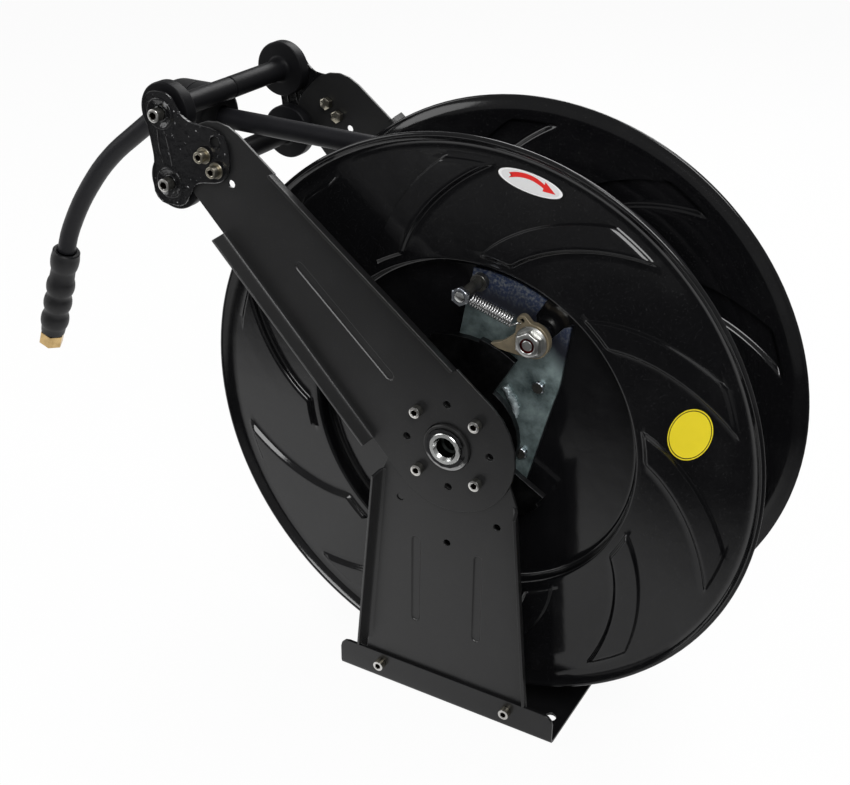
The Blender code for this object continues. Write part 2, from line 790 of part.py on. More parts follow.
def disc_rings():
    """The disc's section as (radius, offset from the mid-plane, on a vane) rings,
    outward over the outer face, round the bead and back over the inner face."""
    face, floor, sheet = disc_face, dish_floor, disc_sheet
    top = face + vane_height
    lip = face + lip_flare
    start = disc_radius - lip_width
    mid = (vane_inner + vane_outer) / 2.0
    wall = dish_radius - 0.0008
    outer = [(drum_hub_radius + gap, floor, 0), (wall - 0.0065, floor, 0),
             (wall - 0.0025, floor + 0.003, 0), (wall, face - 0.0017, 0),
             (wall + 0.002, face, 0), (vane_inner, face, 0), (vane_inner + 0.004, top, 1),
             (mid, top, 1), (vane_outer - 0.004, top, 1), (vane_outer, face, 0),
             (start, face, 0)]
    centre = (disc_radius - bead_radius, lip - bead_radius)
    bead = []
    for angle in (165.0, 80.0, 0.0, -80.0):
        turn = math.radians(angle)
        bead.append((centre[0] + bead_radius * math.cos(turn),
                     centre[1] + bead_radius * math.sin(turn), 0))
    back = dish_back
    inner = [(start + 0.0004, face - sheet, 0), (vane_outer, face - sheet, 0),
             (vane_outer - 0.004, top - sheet, 1), (mid, top - sheet, 1),
             (vane_inner + 0.004, top - sheet, 1), (vane_inner, face - sheet, 0),
             (back, face - sheet, 0), (back - 0.007, floor - sheet, 0),
             (drum_hub_radius + gap, floor - sheet, 0)]
    return outer + bead + inner


def vane_shift(radius):
    part = (radius - vane_inner) / (vane_outer - vane_inner)
    part = min(1.0, max(0.0, part))
    return -vane_twist * part ** 1.12


def build_disc(side):
    pitch = 360.0 / vane_count
    half = vane_angle / 2.0
    slope = 1.2
    columns = []
    for k in range(vane_count):
        centre = vane_start + pitch * k
        columns += [(centre - half, 0), (centre - half + slope, 1),
                    (centre + half - slope, 1), (centre + half, 0),
                    (centre + pitch / 2.0, 0)]
    bm = bmesh.new()
    loops = []
    rings = disc_rings()
    for radius, offset, vane in rings:
        loop = []
        plain = offset
        if vane:
            plain = offset - vane_height
        plain_ring = radius > vane_outer + 0.004 or radius < vane_inner - 0.002
        for number, (angle, raised) in enumerate(columns):
            if plain_ring:
                angle = vane_start - half + pitch / 10.0 + pitch * (number - 0.5) / 5.0
            turn = math.radians(angle + vane_shift(radius))
            reach = offset if raised else plain
            loop.append(bm.verts.new((radius * math.cos(turn), side * reach,
                                      axle_height + radius * math.sin(turn))))
        loops.append(loop)
    count = len(columns)
    for number, low in enumerate(loops):
        after = (number + 1) % len(loops)
        high = loops[after]
        embossed = all(vane_inner <= r <= vane_outer
                       for r in (rings[number][0], rings[after][0]))
        for k in range(count):
            n = (k + 1) % count
            if not embossed:
                bm.faces.new((low[k], low[n], high[n], high[k]))
            elif rings[after][0] > rings[number][0]:
                bm.faces.new((low[k], low[n], high[n]))
                bm.faces.new((low[k], high[n], high[k]))
            else:
                bm.faces.new((low[k], low[n], high[k]))
                bm.faces.new((low[n], high[n], high[k]))
    return finish(side_names[side] + "_disc", bm, black_paint, 28.0, drum_pivot, hub_point)


def build_drum_middle():
    length = disc_face - disc_sheet - gap
    barrel = [(barrel_bore, -length), (barrel_bore + barrel_wall, -length),
              (barrel_bore + barrel_wall, length), (barrel_bore, length)]
    phase = 90.0 - math.degrees(run_line()[2])
    finish("drum_barrel", turned(barrel, hub_point, (0, 1, 0), turn_points, phase),
           black_steel, parent=drum_pivot, origin=hub_point)
    floor = dish_floor - disc_sheet - gap
    end = dish_floor + 0.006
    hub = [(axle_radius + gap, -end), (drum_hub_radius, -end), (drum_hub_radius, -floor),
           (hub_flange_radius, -floor), (hub_flange_radius, -floor + 0.005),
           (drum_hub_radius, -floor + 0.005), (drum_hub_radius, floor - 0.005),
           (hub_flange_radius, floor - 0.005), (hub_flange_radius, floor),
           (drum_hub_radius, floor), (drum_hub_radius, end), (axle_radius + gap, end)]
    finish("drum_hub", turned(hub, hub_point, (0, 1, 0), 20), black_steel,
           parent=drum_pivot, origin=hub_point)


def build_canister():
    """The closed spring motor housing on the rear disc, with its pressed lid."""
    foot = dish_floor + gap
    reach = canister_reach
    bore = drum_hub_radius + gap
    inside = hub_neck_radius + 0.002
    profile = [(bore, foot), (canister_radius, foot), (canister_radius, reach - 0.008),
               (canister_radius + 0.004, reach - 0.008), (canister_radius + 0.004, reach - 0.005),
               (canister_radius - 0.006, reach), (inside, reach), (inside, foot + 0.007),
               (bore, foot + 0.007)]
    finish("spring_canister", turned(profile, hub_point, (0, 1, 0), 20), black_paint,
           parent=drum_pivot, origin=hub_point)


def ratchet_reach(angle):
    """The rim's radius at an angle: it falls 0.1 mm a degree clockwise of a step."""
    back = (first_step - angle) % tooth_pitch
    return ratchet_radius - tooth_step * back / tooth_pitch


def build_ratchet():
    outline = []

    def polar(radius, angle):
        turn = math.radians(angle)
        return Vector((radius * math.cos(turn), axle_height + radius * math.sin(turn)))

    for sector in (0.0, 180.0):
        start = sector_start + sector
        end = start + sector_span
        angle = start
        outline.append(polar(ratchet_root_radius, start))
        steps = [first_step + sector + tooth_pitch * k for k in range(3)]
        while angle < end - 1e-6:
            outline.append(polar(ratchet_reach(angle - sector - 1e-4), angle))
            ahead = [s for s in steps if angle + 1e-6 < s < min(end, angle + 10.0)]
            if ahead:
                outline.append(polar(ratchet_radius, ahead[0] - 0.01))
                outline.append(polar(ratchet_radius - tooth_step, ahead[0] + 0.25))
                angle = ahead[0] + (10.0 - (ahead[0] - angle))
            else:
                angle += 10.0
        outline.append(polar(ratchet_reach(end - sector), end))
        outline.append(polar(ratchet_root_radius, end))
        for k in range(1, 6):
            outline.append(polar(ratchet_root_radius, end + (180.0 - sector_span) * k / 6.0))
    bore = circle(0.0, axle_height, hub_seat_radius + gap, 20)
    bm = plate(outline, [bore], ratchet_face, ratchet_thickness)
    return finish("ratchet_plate", bm, black_steel)


def circle_point(radius, angle):
    """A point about the axle, at an angle in degrees."""
    turn = math.radians(angle)
    return radius * math.cos(turn), axle_height + radius * math.sin(turn)


def build_carrier():
    """The zinc plate in the front dish that carries the pawl and the spring post."""
    h, r = axle_height, dish_radius
    px, pz = pawl_x, h + pawl_z
    ear = [circle_point(r - 0.0124, 52.9), circle_point(r - 0.0191, 54.4)]
    top = arc((0.0, h), dish_radius - 0.0085, 64.5, 91.5, 5)
    shape = [(-0.077, 0.666, 0.0), (-0.105, 0.510, 0.027), (-0.270, 0.311, 0.08),
             (-0.351, 0.027, 0.08), (-0.270, -0.338, 0.095), (-0.027, -0.581, 0.08),
             (0.230, -0.554, 0.02), (0.331, -0.311, 0.0), (0.446, 0.149, 0.0),
             (0.507, 0.372, 0.0)]
    corners = [(x * r, h + z * r, bend * r) for x, z, bend in shape]
    corners += [(*ear[0], 0.001), (*ear[1], 0.0)]
    boss = pawl_bore_radius
    corners += [(px + 1.59 * boss, pz - 0.24 * boss, 0.0), (px + 1.03 * boss, pz + 0.95 * boss, 0.0),
                (px - 0.56 * boss, pz + 1.35 * boss, 0.0), (px - 0.73 * boss, pz + 2.38 * boss, 0.0)]
    outline = top + rounded(corners, 2)
    holes = [circle(0.0, h, drum_hub_radius + gap, 20),
             circle(pawl_x, h + pawl_z, pawl_bore_radius - 3 * gap, 8),
             circle(spring_post_x, h + spring_post_z, spring_post_radius + 2 * gap, 8),
             circle(upper_bolt_x, h + upper_bolt_z, screw_radius, 8),
             circle(lower_bolt_x, h + lower_bolt_z, screw_radius, 8)]
    bm = plate(outline, holes, carrier_face, carrier_thickness)
    return finish("pawl_carrier", bm, zinc, parent=drum_pivot, origin=hub_point)


def build_carrier_bolts():
    back = dish_floor + gap
    for label, x, z in (("upper", upper_bolt_x, upper_bolt_z),
                        ("lower", lower_bolt_x, lower_bolt_z)):
        face = carrier_face + gap
        profile = [(0.0, face + 0.0035), (0.0048, face + 0.0035, 6), (0.0055, face + 0.0028, 6),
                   (0.0055, face, 6), (0.0026, face), (0.0026, back), (0.0, back)]
        bm = turned(profile, (x, 0.0, axle_height + z), (0, -1, 0), 12)
        finish("carrier_bolt_" + label, bm, zinc, parent=drum_pivot,
               origin=(x, 0.0, axle_height + z))


def build_pawl():
    """The pawl: a round eye, a drawn-down nose and a tab with the spring's hole."""
    e = pawl_eye_radius
    eye = arc((0.0, 0.0), e, 270.0, 455.0, 12)
    tab = arc((pawl_tab_x, pawl_tab_z), pawl_tab_radius, 62.0, 205.0, 4)
    neck = [(-0.96 * e, 0.55 * e), (-0.98 * e, 0.30 * e), (-1.30 * e, -0.05 * e),
            (-1.79 * e, -0.43 * e)]
    nose = [(-2.405 * e, -0.655 * e), (-2.34 * e, -0.716 * e), (-1.973 * e, -0.865 * e),
            (-1.426 * e, -0.932 * e)]
    outline = eye + tab + [Vector(p) for p in neck + nose]
    outline = [Vector((p.x + pawl_x, p.y + axle_height + pawl_z)) for p in outline]
    holes = [circle(pawl_x, axle_height + pawl_z, pawl_bore_radius, 12),
             circle(pawl_x + pawl_tab_x, axle_height + pawl_z + pawl_tab_z,
                    0.4 * pawl_tab_radius, 8)]
    bm = plate(outline, holes, ratchet_face, ratchet_thickness)
    return finish("pawl", bm, yellow_zinc, parent=pawl_pivot,
                  origin=(pawl_x, 0.0, axle_height + pawl_z))


def build_pawl_bolt():
    """A shouldered bolt: spacer behind the pawl, flange and hexagon before it."""
    spacer = ratchet_face - ratchet_thickness - gap
    flange = ratchet_face + gap
    foot = dish_floor + gap
    profile = [(0.0, foot), (0.005, foot), (0.005, carrier_face + gap),
               (0.010, carrier_face + gap), (0.010, spacer), (pawl_bore_radius - gap, spacer),
               (pawl_bore_radius - gap, flange), (0.0132, flange), (0.0126, flange + 0.0022),
               (0.0110, flange + 0.0022, 6), (0.0110, flange + 0.0088, 6),
               (0.0060, flange + 0.0088), (0.0060, flange + 0.0072), (0.0, flange + 0.0072)]
    centre = (pawl_x, 0.0, axle_height + pawl_z)
    bm = turned(profile, centre, (0, -1, 0), 12)
    finish("pawl_bolt", bm, yellow_zinc, parent=drum_pivot, origin=centre)


def build_spring_post():
    foot = dish_floor + gap
    r = spring_post_radius
    profile = [(0.0, foot), (r, foot), (r, carrier_face + gap), (0.0072, carrier_face + gap),
               (0.0072, carrier_face + 0.0063), (r, carrier_face + 0.0063),
               (r, spring_post_reach), (0.0, spring_post_reach)]
    centre = (spring_post_x, 0.0, axle_height + spring_post_z)
    finish("spring_post", turned(profile, centre, (0, -1, 0), 12), zinc,
           parent=drum_pivot, origin=centre)
    front = spring_post_reach - 0.0006
    back = front - spring_nut_width
    nut = [(r + gap, back), (0.0070, back), (0.0078, back + 0.0008, 6),
           (0.0078, front - 0.0008, 6), (0.0070, front), (r + gap, front)]
    finish("spring_post_nut", turned(nut, centre, (0, -1, 0), 12), zinc,
           parent=drum_pivot, origin=centre)


def build_pawl_spring():
    """A tension spring from the post to the pawl's tab, as one bent wire."""
    start = Vector((spring_post_x, -spring_far_plane, axle_height + spring_post_z))
    end = Vector((pawl_x + pawl_tab_x, -spring_near_plane,
                  axle_height + pawl_z + pawl_tab_z))
    way = (end - start).normalized()
    across = Vector((0.0, 1.0, 0.0)).cross(way).normalized()
    depth = way.cross(across)
    hook = spring_post_radius + spring_wire_radius + gap
    flat = (way - Vector((0.0, way.y, 0.0))).normalized()
    points = []
    for k in range(9):
        turn = math.radians(250.0 - 215.0 * k / 8.0)
        points.append(start + flat * hook * math.cos(turn) + across * hook * math.sin(turn))
    body_start = start + way * spring_start_room
    body = (end - start).length - spring_start_room - spring_end_room
    pitch = body / spring_curls
    per = 6
    points.append(start + way * (spring_start_room - 2 * spring_wire_radius)
                  + across * spring_coil_radius)
    for k in range(1, spring_curls * per + 1):
        turn = 2.0 * math.pi * k / per
        along = pitch * k / per
        points.append(body_start + way * along + across * spring_coil_radius * math.cos(turn)
                      + depth * spring_coil_radius * math.sin(turn))
    through = Vector((0.0, 1.0, 0.0))
    points.append(end - way * 0.6 * spring_end_room + across * 0.5 * spring_coil_radius)
    points.append(end - way * 0.25 * spring_end_room + through * 0.0004)
    points.append(end + through * 0.0018)
    points.append(end + through * 0.0060)
    points.append(end + through * 0.0145)
    print("spring least gap to itself: %.2f mm" % least_gap(points, spring_wire_radius, 6))
    obj = tube_along("pawl_spring", points, spring_wire_radius, 0, spring_steel)
    obj.parent = drum_pivot
    obj.matrix_parent_inverse = Matrix.Translation(-hub_point)


def least_gap(points, radius, skip):
    """The least distance in mm between a tube's surfaces more than some points apart."""
    least = 1.0
    for i in range(len(points) - 1):
        for j in range(i + skip, len(points) - 1):
            if (points[i] - points[j]).length > least + 0.06:
                continue
            least = min(least, segment_distance(points[i], points[i + 1],
                                                points[j], points[j + 1]))
    return (least - 2.0 * radius) * 1000.0


def segment_distance(a, b, c, d):
    """The least distance between two segments, from a few points on each."""
    best = 1.0
    for s in range(5):
        p = a.lerp(b, s / 4.0)
        line = d - c
        t = min(1.0, max(0.0, (p - c).dot(line) / line.length_squared))
        best = min(best, (p - (c + line * t)).length)
    for s in range(5):
        p = c.lerp(d, s / 4.0)
        line = b - a
        t = min(1.0, max(0.0, (p - a).dot(line) / line.length_squared))
        best = min(best, (p - (a + line * t)).length)
    return best


def build_rollers():
    for label, x, z in (("upper", upper_roller_x, upper_roller_z),
                        ("lower", lower_roller_x, lower_roller_z)):
        for side in (-1, 1):
            bore = roller_bolt_radius + gap
            seam = gap / 2.0
            inner = roller_length - roller_flange_width
            boss = bracket_back - gap
            profile = [(bore, seam), (roller_tube_radius, seam), (roller_tube_radius, inner),
                       (roller_flange_radius, inner + 0.0012),
                       (roller_flange_radius, roller_length), (0.008, roller_length),
                       (0.008, boss), (bore, boss)]
            pivot = empty(label + "_" + side_names[side] + "_roller_axis", (x, 0.0, z))
            bm = turned(profile, (x, 0.0, z), (0.0, float(side), 0.0), 14)
            finish(label + "_" + side_names[side] + "_roller", bm, black_nylon,
                   parent=pivot, origin=(x, 0.0, z))
        head = bracket_front + gap
        top = head + roller_head_height
        r = roller_bolt_radius
        nut = bracket_front + gap
        profile = [(0.0, -top), (roller_head_radius, -top), (roller_head_radius, -head), (r, -head),
                   (r, nut + roller_nut_height + roller_bolt_end),
                   (0.0, nut + roller_nut_height + roller_bolt_end)]
        bm = turned(profile, (x, 0.0, z), (0, 1, 0), 12)
        finish(label + "_roller_bolt", bm, black_steel, origin=(x, 0.0, z))
        wide = 2 * r - 2 * gap
        profile = [(r + gap, nut), (wide, nut, 6), (wide, nut + roller_nut_height, 6),
                   (r + gap, nut + roller_nut_height)]
        bm = turned(profile, (x, 0.0, z), (0, 1, 0), 12)
        finish(label + "_roller_nut", bm, zinc, origin=(x, 0.0, z))


def run_line():
    """The tangent point on the winding, and the direction from it to the guide."""
    entry = Vector((stop_near_x + run_entry_back, 0.0022, stop_z - 0.0009))
    rel = Vector((entry.x, entry.z - axle_height))
    reach = rel.length
    lean = math.acos(wind_radius / reach)
    angle = math.atan2(rel.y, rel.x) - lean
    touch = Vector((wind_radius * math.cos(angle), wind_end_y,
                    axle_height + wind_radius * math.sin(angle)))
    return touch, (entry - touch).normalized(), angle


def build_winding():
    touch, way, angle = run_line()
    room = 2 * wind_end_y - crossing_pitch
    count = math.floor(turn_points * (1.0 + room / wind_pitch))
    points = []
    step = 2.0 * math.pi / turn_points
    for k in range(count, -1, -1):
        turn = angle - step * k
        along = k / turn_points
        if along < 1.0:
            y = wind_end_y - crossing_pitch * along
        else:
            y = wind_end_y - crossing_pitch - wind_pitch * (along - 1.0)
        points.append(Vector((wind_radius * math.cos(turn), y,
                              axle_height + wind_radius * math.sin(turn))))
    first = points[0] + (points[0] - points[1]).normalized() * 2 * hose_radius
    first.y = points[0].y
    points.insert(0, first)
    points.append(touch + way * stub_length / 2.0)
    points.append(touch + way * stub_length)
    print("winding least gap to itself: %.2f mm" % least_gap(points, hose_radius, 12))
    obj = tube_along("hose_winding", points, hose_radius, 1, black_rubber)
    obj.parent = drum_pivot
    obj.matrix_parent_inverse = Matrix.Translation(-hub_point)
    outer = wind_radius - hose_radius - gap
    length = disc_face - disc_sheet - 2 * gap
    core = [(core_bore, -length), (outer, -length), (outer, length), (core_bore, length)]
    bm = turned(core, hub_point, (0, 1, 0), turn_points, 90.0 - math.degrees(angle))
    finish("hose_core", bm, black_rubber, parent=drum_pivot, origin=hub_point)


def build_hose_run():
    touch, way, angle = run_line()
    start = touch + way * (stub_length + gap)
    mouth = Vector((stop_near_x, 0.0, stop_z))
    reach = (mouth - start).length
    controls = [start] + [start + way * reach * part for part in (0.155, 0.466, 0.751, 0.881)]
    controls += [mouth, mouth - Vector((run_into_stop, 0.0, 0.0))]
    tube_along("hose_run", smooth_route(controls, run_spacing), hose_radius, 2, black_rubber)


def build_stop():
    middle = (stop_near_x + stop_far_x) / 2.0
    half = (stop_near_x - stop_far_x) / 2.0
    bore = hose_radius + 2 * gap
    f, r = stop_face_radius, stop_radius
    profile = [(bore, -half), (f, -half), (f + 0.7 * (r - f), -half + 0.0035),
               (r, -half + 0.010), (r, half - 0.010), (f + 0.7 * (r - f), half - 0.0035),
               (f, half), (bore, half)]
    bm = turned(profile, (middle, 0.0, stop_z), (-1, 0, 0), 18)
    obj = finish("hose_stop", bm, black_rubber, origin=(middle, 0.0, stop_z))
    cutter = bmesh.new()
    result = bmesh.ops.create_cone(cutter, cap_ends=True, segments=8, radius1=0.0055,
                                   radius2=0.0055, depth=0.020)
    bmesh.ops.translate(cutter, verts=result["verts"],
                        vec=(middle, 0.0, stop_z + stop_radius + 0.002))
    combine(obj, cutter, "DIFFERENCE", "hose_stop_screw_recess")


def build_tail():
    start = Vector((stop_near_x - run_into_stop - gap, 0.0, stop_z))
    leave = Vector((stop_far_x - 0.001, 0.0, stop_z))
    grip_top = leave - Vector((grip_out, 0.0, grip_fall))
    way = Vector((-0.3374, 0.0, -0.9414)).normalized()
    drops = [(0.0185, 0.0105), (0.0345, 0.0225), (0.0535, 0.0370), (0.0725, 0.0520),
             (0.0955, 0.0745), (0.1195, 0.1045), (0.1360, 0.1300)]
    controls = [leave] + [leave - Vector((x, 0.0, z)) for x, z in drops]
    controls += [grip_top - way * 0.018, grip_top]
    route = [start, (start + leave) / 2.0] + list(smooth_route(controls, tail_spacing))
    tube_along("hose_tail", route, hose_radius, 2, black_rubber)
    face = gap
    profile = [(0.0, face), (0.0125, face), (0.0138, face + 0.002)]
    bulges = ((0.012, 0.011), (0.0445, 0.0085), (0.066, 0.0085), (0.0885, 0.0085))
    for centre, half in bulges:
        for part in (-1.0, 0.0, 1.0):
            height = centre + half * part
            if height < face + 0.003:
                continue
            reach = grip_radius + grip_bulge * (1.0 - part * part)
            profile.append((reach, height))
    profile += [(grip_radius - 0.001, grip_length - 0.004),
                (grip_radius - 0.0016, grip_length), (0.0, grip_length)]
    finish("hose_grip", turned(profile, grip_top, way, 14), black_rubber, origin=grip_top)
    nut_top = grip_length + gap
    corner = nut_flats / 2.0 / math.cos(math.pi / 6.0)
    flat = nut_flats / 2.0
    end = nut_top + nut_length
    profile = [(0.0, nut_top), (flat - 0.001, nut_top), (corner, nut_top + 0.0015, 6),
               (corner, end - 0.0015, 6), (flat - 0.001, end), (0.0065, end),
               (0.0065, end - 0.010), (0.0, end - 0.010)]
    finish("hose_nut", turned(profile, grip_top, way, 12), yellow_zinc, origin=grip_top)


build_base()
for which in (-1, 1):
    build_post(which)
    build_arm(which)
    build_bracket(which)
    build_hub(which)
    build_disc(which)
build_frame_screws()
build_axle()
build_inlet()
build_drum_middle()
build_canister()
build_ratchet()
build_carrier()
build_carrier_bolts()
build_pawl()
build_pawl_bolt()
build_spring_post()
build_pawl_spring()
build_rollers()
build_winding()
build_hose_run()
build_stop()
build_tail()
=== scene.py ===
# Retractable hose reel: fine shapes, finishes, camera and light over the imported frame.
import json
import math

import bpy
from mathutils import Matrix, Vector


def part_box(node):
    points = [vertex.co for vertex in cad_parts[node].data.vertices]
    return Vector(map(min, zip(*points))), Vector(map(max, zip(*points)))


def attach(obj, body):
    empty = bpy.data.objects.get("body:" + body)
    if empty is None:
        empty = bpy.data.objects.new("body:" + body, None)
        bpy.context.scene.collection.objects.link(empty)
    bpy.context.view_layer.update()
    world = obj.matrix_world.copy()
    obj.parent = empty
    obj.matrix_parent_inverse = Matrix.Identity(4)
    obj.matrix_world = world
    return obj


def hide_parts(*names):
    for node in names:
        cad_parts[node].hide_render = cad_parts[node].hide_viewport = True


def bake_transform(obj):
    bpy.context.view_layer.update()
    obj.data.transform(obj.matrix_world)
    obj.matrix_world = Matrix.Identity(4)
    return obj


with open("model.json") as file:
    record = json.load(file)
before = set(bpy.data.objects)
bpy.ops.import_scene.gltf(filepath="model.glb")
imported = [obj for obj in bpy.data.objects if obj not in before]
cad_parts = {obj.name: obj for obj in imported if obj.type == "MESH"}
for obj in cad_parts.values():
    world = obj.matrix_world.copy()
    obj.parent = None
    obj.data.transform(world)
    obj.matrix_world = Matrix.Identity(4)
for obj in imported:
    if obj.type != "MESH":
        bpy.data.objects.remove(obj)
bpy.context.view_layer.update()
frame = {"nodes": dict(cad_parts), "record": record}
nodes = frame["nodes"]
axle = Vector((0.0, 0.0, 0.270))
toFront, toRear = (0, -1, 0), (0, 1, 0)
sides = ((-1, "front"), (1, "rear"))
slotOf = {entry["node"]: entry["material_slot"] for entry in frame["record"]["subparts"]}
bodyOf = {node: body for body, members in frame["record"]["behaviour"]["bodies"].items()
          for node in members}
print("stage: frame loaded,", len(nodes), "nodes")

camera = {
    "place": (0.4200, -0.8806, 0.7996),
    "right": (0.86844, 0.49573, 0.00803),
    "up": (-0.24116, 0.40823, 0.88045),
    "lens": 54.47,
    "shift": (0.0068, 0.0019),
}


def given(thing, **settings):
    for name, value in settings.items():
        setattr(thing, name, value)
    return thing


def addCamera():
    across, up = camera["shift"]
    data = given(bpy.data.cameras.new("reelCamera"), sensor_fit="HORIZONTAL",
                 sensor_width=36.0, lens=camera["lens"], shift_x=across, shift_y=up,
                 clip_start=0.01)
    cam = bpy.data.objects.new("reelCamera", data)
    right = Vector(camera["right"]).normalized()
    back = right.cross(Vector(camera["up"])).normalized()
    up = back.cross(right)
    turn = Matrix((right, up, back)).transposed().to_4x4()
    cam.matrix_world = Matrix.Translation(camera["place"]) @ turn
    bpy.context.scene.collection.objects.link(cam)
    bpy.context.scene.camera = cam


addCamera()


# small tools for modelling

def sizesOf(table, names):
    return [table[name] for name in names.split()]


def mode(kind):
    bpy.ops.object.mode_set(mode=kind)


def pick(action="SELECT"):
    bpy.ops.mesh.select_all(action=action)


def deselectAll():
    if bpy.context.mode != "OBJECT":
        mode("OBJECT")
    bpy.ops.object.select_all(action="DESELECT")


def activate(piece):
    deselectAll()
    piece.select_set(True)
    bpy.context.view_layer.objects.active = piece


def settle(piece):
    activate(piece)  # place goes into the mesh
    bpy.ops.object.transform_apply(location=True, rotation=True, scale=True)


def added(label):  # what an operator has just added
    piece = bpy.context.object
    piece.name = label
    piece.data.name = label
    settle(piece)
    return piece


def smooth(piece, angle=30.0):
    activate(piece)
    bpy.ops.object.shade_smooth_by_angle(angle=math.radians(angle))


def modified(piece, kind, **settings):
    activate(piece)
    made = given(piece.modifiers.new(kind.lower(), kind), **settings)
    bpy.ops.object.modifier_apply(modifier=made.name)


def evenNormals(piece):  # flat sheets keep flat light up to their rounded edges
    modified(piece, "WEIGHTED_NORMAL", mode="FACE_AREA", weight=50, keep_sharp=True)


def pickFaces(piece, test):
    mode("EDIT")
    pick("DESELECT")
    mode("OBJECT")
    for face in piece.data.polygons:
        face.select = test(face)
    mode("EDIT")


def outward(piece):
    activate(piece)
    mode("EDIT")
    pick()
    bpy.ops.mesh.normals_make_consistent(inside=False)
    mode("OBJECT")


def softenEdges(piece, width, steps=2, angle=30.0):
    modified(piece, "BEVEL", width=width, segments=steps, limit_method="ANGLE",
             angle_limit=math.radians(angle), use_clamp_overlap=False)


def frameAcross(axis):
    axis = Vector(axis).normalized()
    side = Vector((1.0, 0.0, 0.0)) if abs(axis.x) < 0.7 else Vector((0.0, 0.0, 1.0))
    side = (side - axis * side.dot(axis)).normalized()
    return axis, side


def loopMesh(label, points):
    deselectAll()
    bpy.ops.mesh.primitive_plane_add(size=0.01, location=points[0])
    piece = added(label)
    mode("EDIT")
    pick()
    bpy.ops.mesh.merge(type="CENTER")
    last = Vector(points[0])
    for point in points[1:]:
        step = Vector(point) - last
        bpy.ops.mesh.extrude_region_move(TRANSFORM_OT_translate={"value": step})
        last = Vector(point)
    return piece


def turned(label, profile, centre, axis, steps=48, closed=False):
    axis, side = frameAcross(axis)
    centre = Vector(centre)
    points = [centre + side * r + axis * h for r, h in profile]
    if closed:
        points.append(points[0])
    piece = loopMesh(label, points)
    pick()
    bpy.ops.mesh.remove_doubles(threshold=0.000001)
    pick()
    bpy.ops.mesh.spin(steps=steps, angle=2.0 * math.pi, center=centre, axis=axis)
    pick()
    bpy.ops.mesh.remove_doubles(threshold=0.000002)
    bpy.ops.mesh.normals_make_consistent(inside=False)
    mode("OBJECT")
    smooth(piece)
    return piece


def roundedProfile(corners, radius, steps=4):
    made = []
    count = len(corners)
    for k, corner in enumerate(corners):
        here = Vector((corner[0], corner[1]))
        if k in (0, count - 1) or len(corner) > 2:
            made.append(tuple(here))
            continue
        before = (Vector(corners[k - 1][:2]) - here)
        after = (Vector(corners[k + 1][:2]) - here)
        cut = min(radius, before.length * 0.45, after.length * 0.45)
        start = here + before.normalized() * cut
        end = here + after.normalized() * cut
        for s in range(steps + 1):
            t = s / steps
            spot = start * (1 - t) ** 2 + here * 2 * t * (1 - t) + end * t ** 2
            made.append(tuple(spot))
    return made


def route(controls, spacing):
    pts = [Vector(p) for p in controls]
    pts = [pts[0] * 2 - pts[1]] + pts + [pts[-1] * 2 - pts[-2]]
    made = []
    for a, b, c, d in zip(pts, pts[1:], pts[2:], pts[3:]):
        count = max(1, round((c - b).length / spacing))
        for k in range(count):
            t = k / count
            made.append(0.5 * ((2 * b) + (c - a) * t + (2 * a - 5 * b + 4 * c - d) * t * t
                               + (3 * b - a - 3 * c + d) * t ** 3))
    made.append(pts[-2])
    return made


def tube(label, points, radius, count):
    data = given(bpy.data.curves.new(label, "CURVE"), dimensions="3D", bevel_depth=radius,
                 bevel_resolution=(count - 4) // 2, use_fill_caps=True,
                 twist_mode="MINIMUM")
    line = data.splines.new("POLY")
    line.points.add(len(points) - 1)
    for spot, point in zip(line.points, points):
        spot.co = (*point, 1.0)
    piece = bpy.data.objects.new(label, data)
    bpy.context.collection.objects.link(piece)
    activate(piece)
    bpy.ops.object.convert(target="MESH")
    piece = bpy.context.object
    smooth(piece, 50.0)
    return piece


def fineName(node):
    return node.replace("_", "-") + "-fine"


# a copy of a CAD node with soft edges; shape, if given, works on it before the bevel
def refined(node, width=0.0004, steps=2, shape=None):
    source = nodes[node]
    piece = source.copy()
    piece.data = source.data.copy()
    piece.name = fineName(node)
    piece.parent = None
    piece.matrix_world = Matrix.Identity(4)
    bpy.context.scene.collection.objects.link(piece)
    activate(piece)
    mode("EDIT")
    pick()
    bpy.ops.mesh.remove_doubles(threshold=0.000002)
    pick()
    bpy.ops.mesh.dissolve_limited(angle_limit=math.radians(0.5))
    mode("OBJECT")
    if shape:
        shape(piece)
    softenEdges(piece, width, steps)
    smooth(piece, 35.0)
    evenNormals(piece)
    return piece


def joined(label, parts):
    deselectAll()
    for part in parts:
        part.select_set(True)
    bpy.context.view_layer.objects.active = parts[0]
    bpy.ops.object.join()
    parts[0].name = label
    return parts[0]


def finishOf(piece, material, body):
    piece.data.materials.clear()
    piece.data.materials.append(material)
    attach(piece, body)


def dress(piece, node, material):  # body is that of the node; the finish is the one given
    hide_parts(node)
    finishOf(piece, material, bodyOf[node])


# a ring of points at the radius mark becomes a hexagon with this flat
def hexed(piece, centre, axis, mark, flat):
    axis, side = frameAcross(axis)
    centre = Vector(centre)
    other = axis.cross(side)
    for vert in piece.data.vertices:
        away = vert.co - centre
        across, up = away.dot(side), away.dot(other)
        if abs(math.hypot(across, up) - mark) < 0.000006:
            part = (math.atan2(up, across) + math.pi / 6.0) % (math.pi / 3.0) - math.pi / 6.0
            grow = flat / math.cos(part) / mark
            vert.co = (centre + axis * away.dot(axis) + side * across * grow
                       + other * up * grow)


# a turned piece in a node's place, with its hexagons as pairs of mark and flat
def lathed(node, profile, centre, axis, material, steps=48, closed=False, hexes=(),
           label=None):
    piece = turned(label or fineName(node), profile, centre, axis, steps, closed)
    for mark, flat in hexes:
        hexed(piece, centre, axis, mark, flat)
    dress(piece, node, material)
    return piece


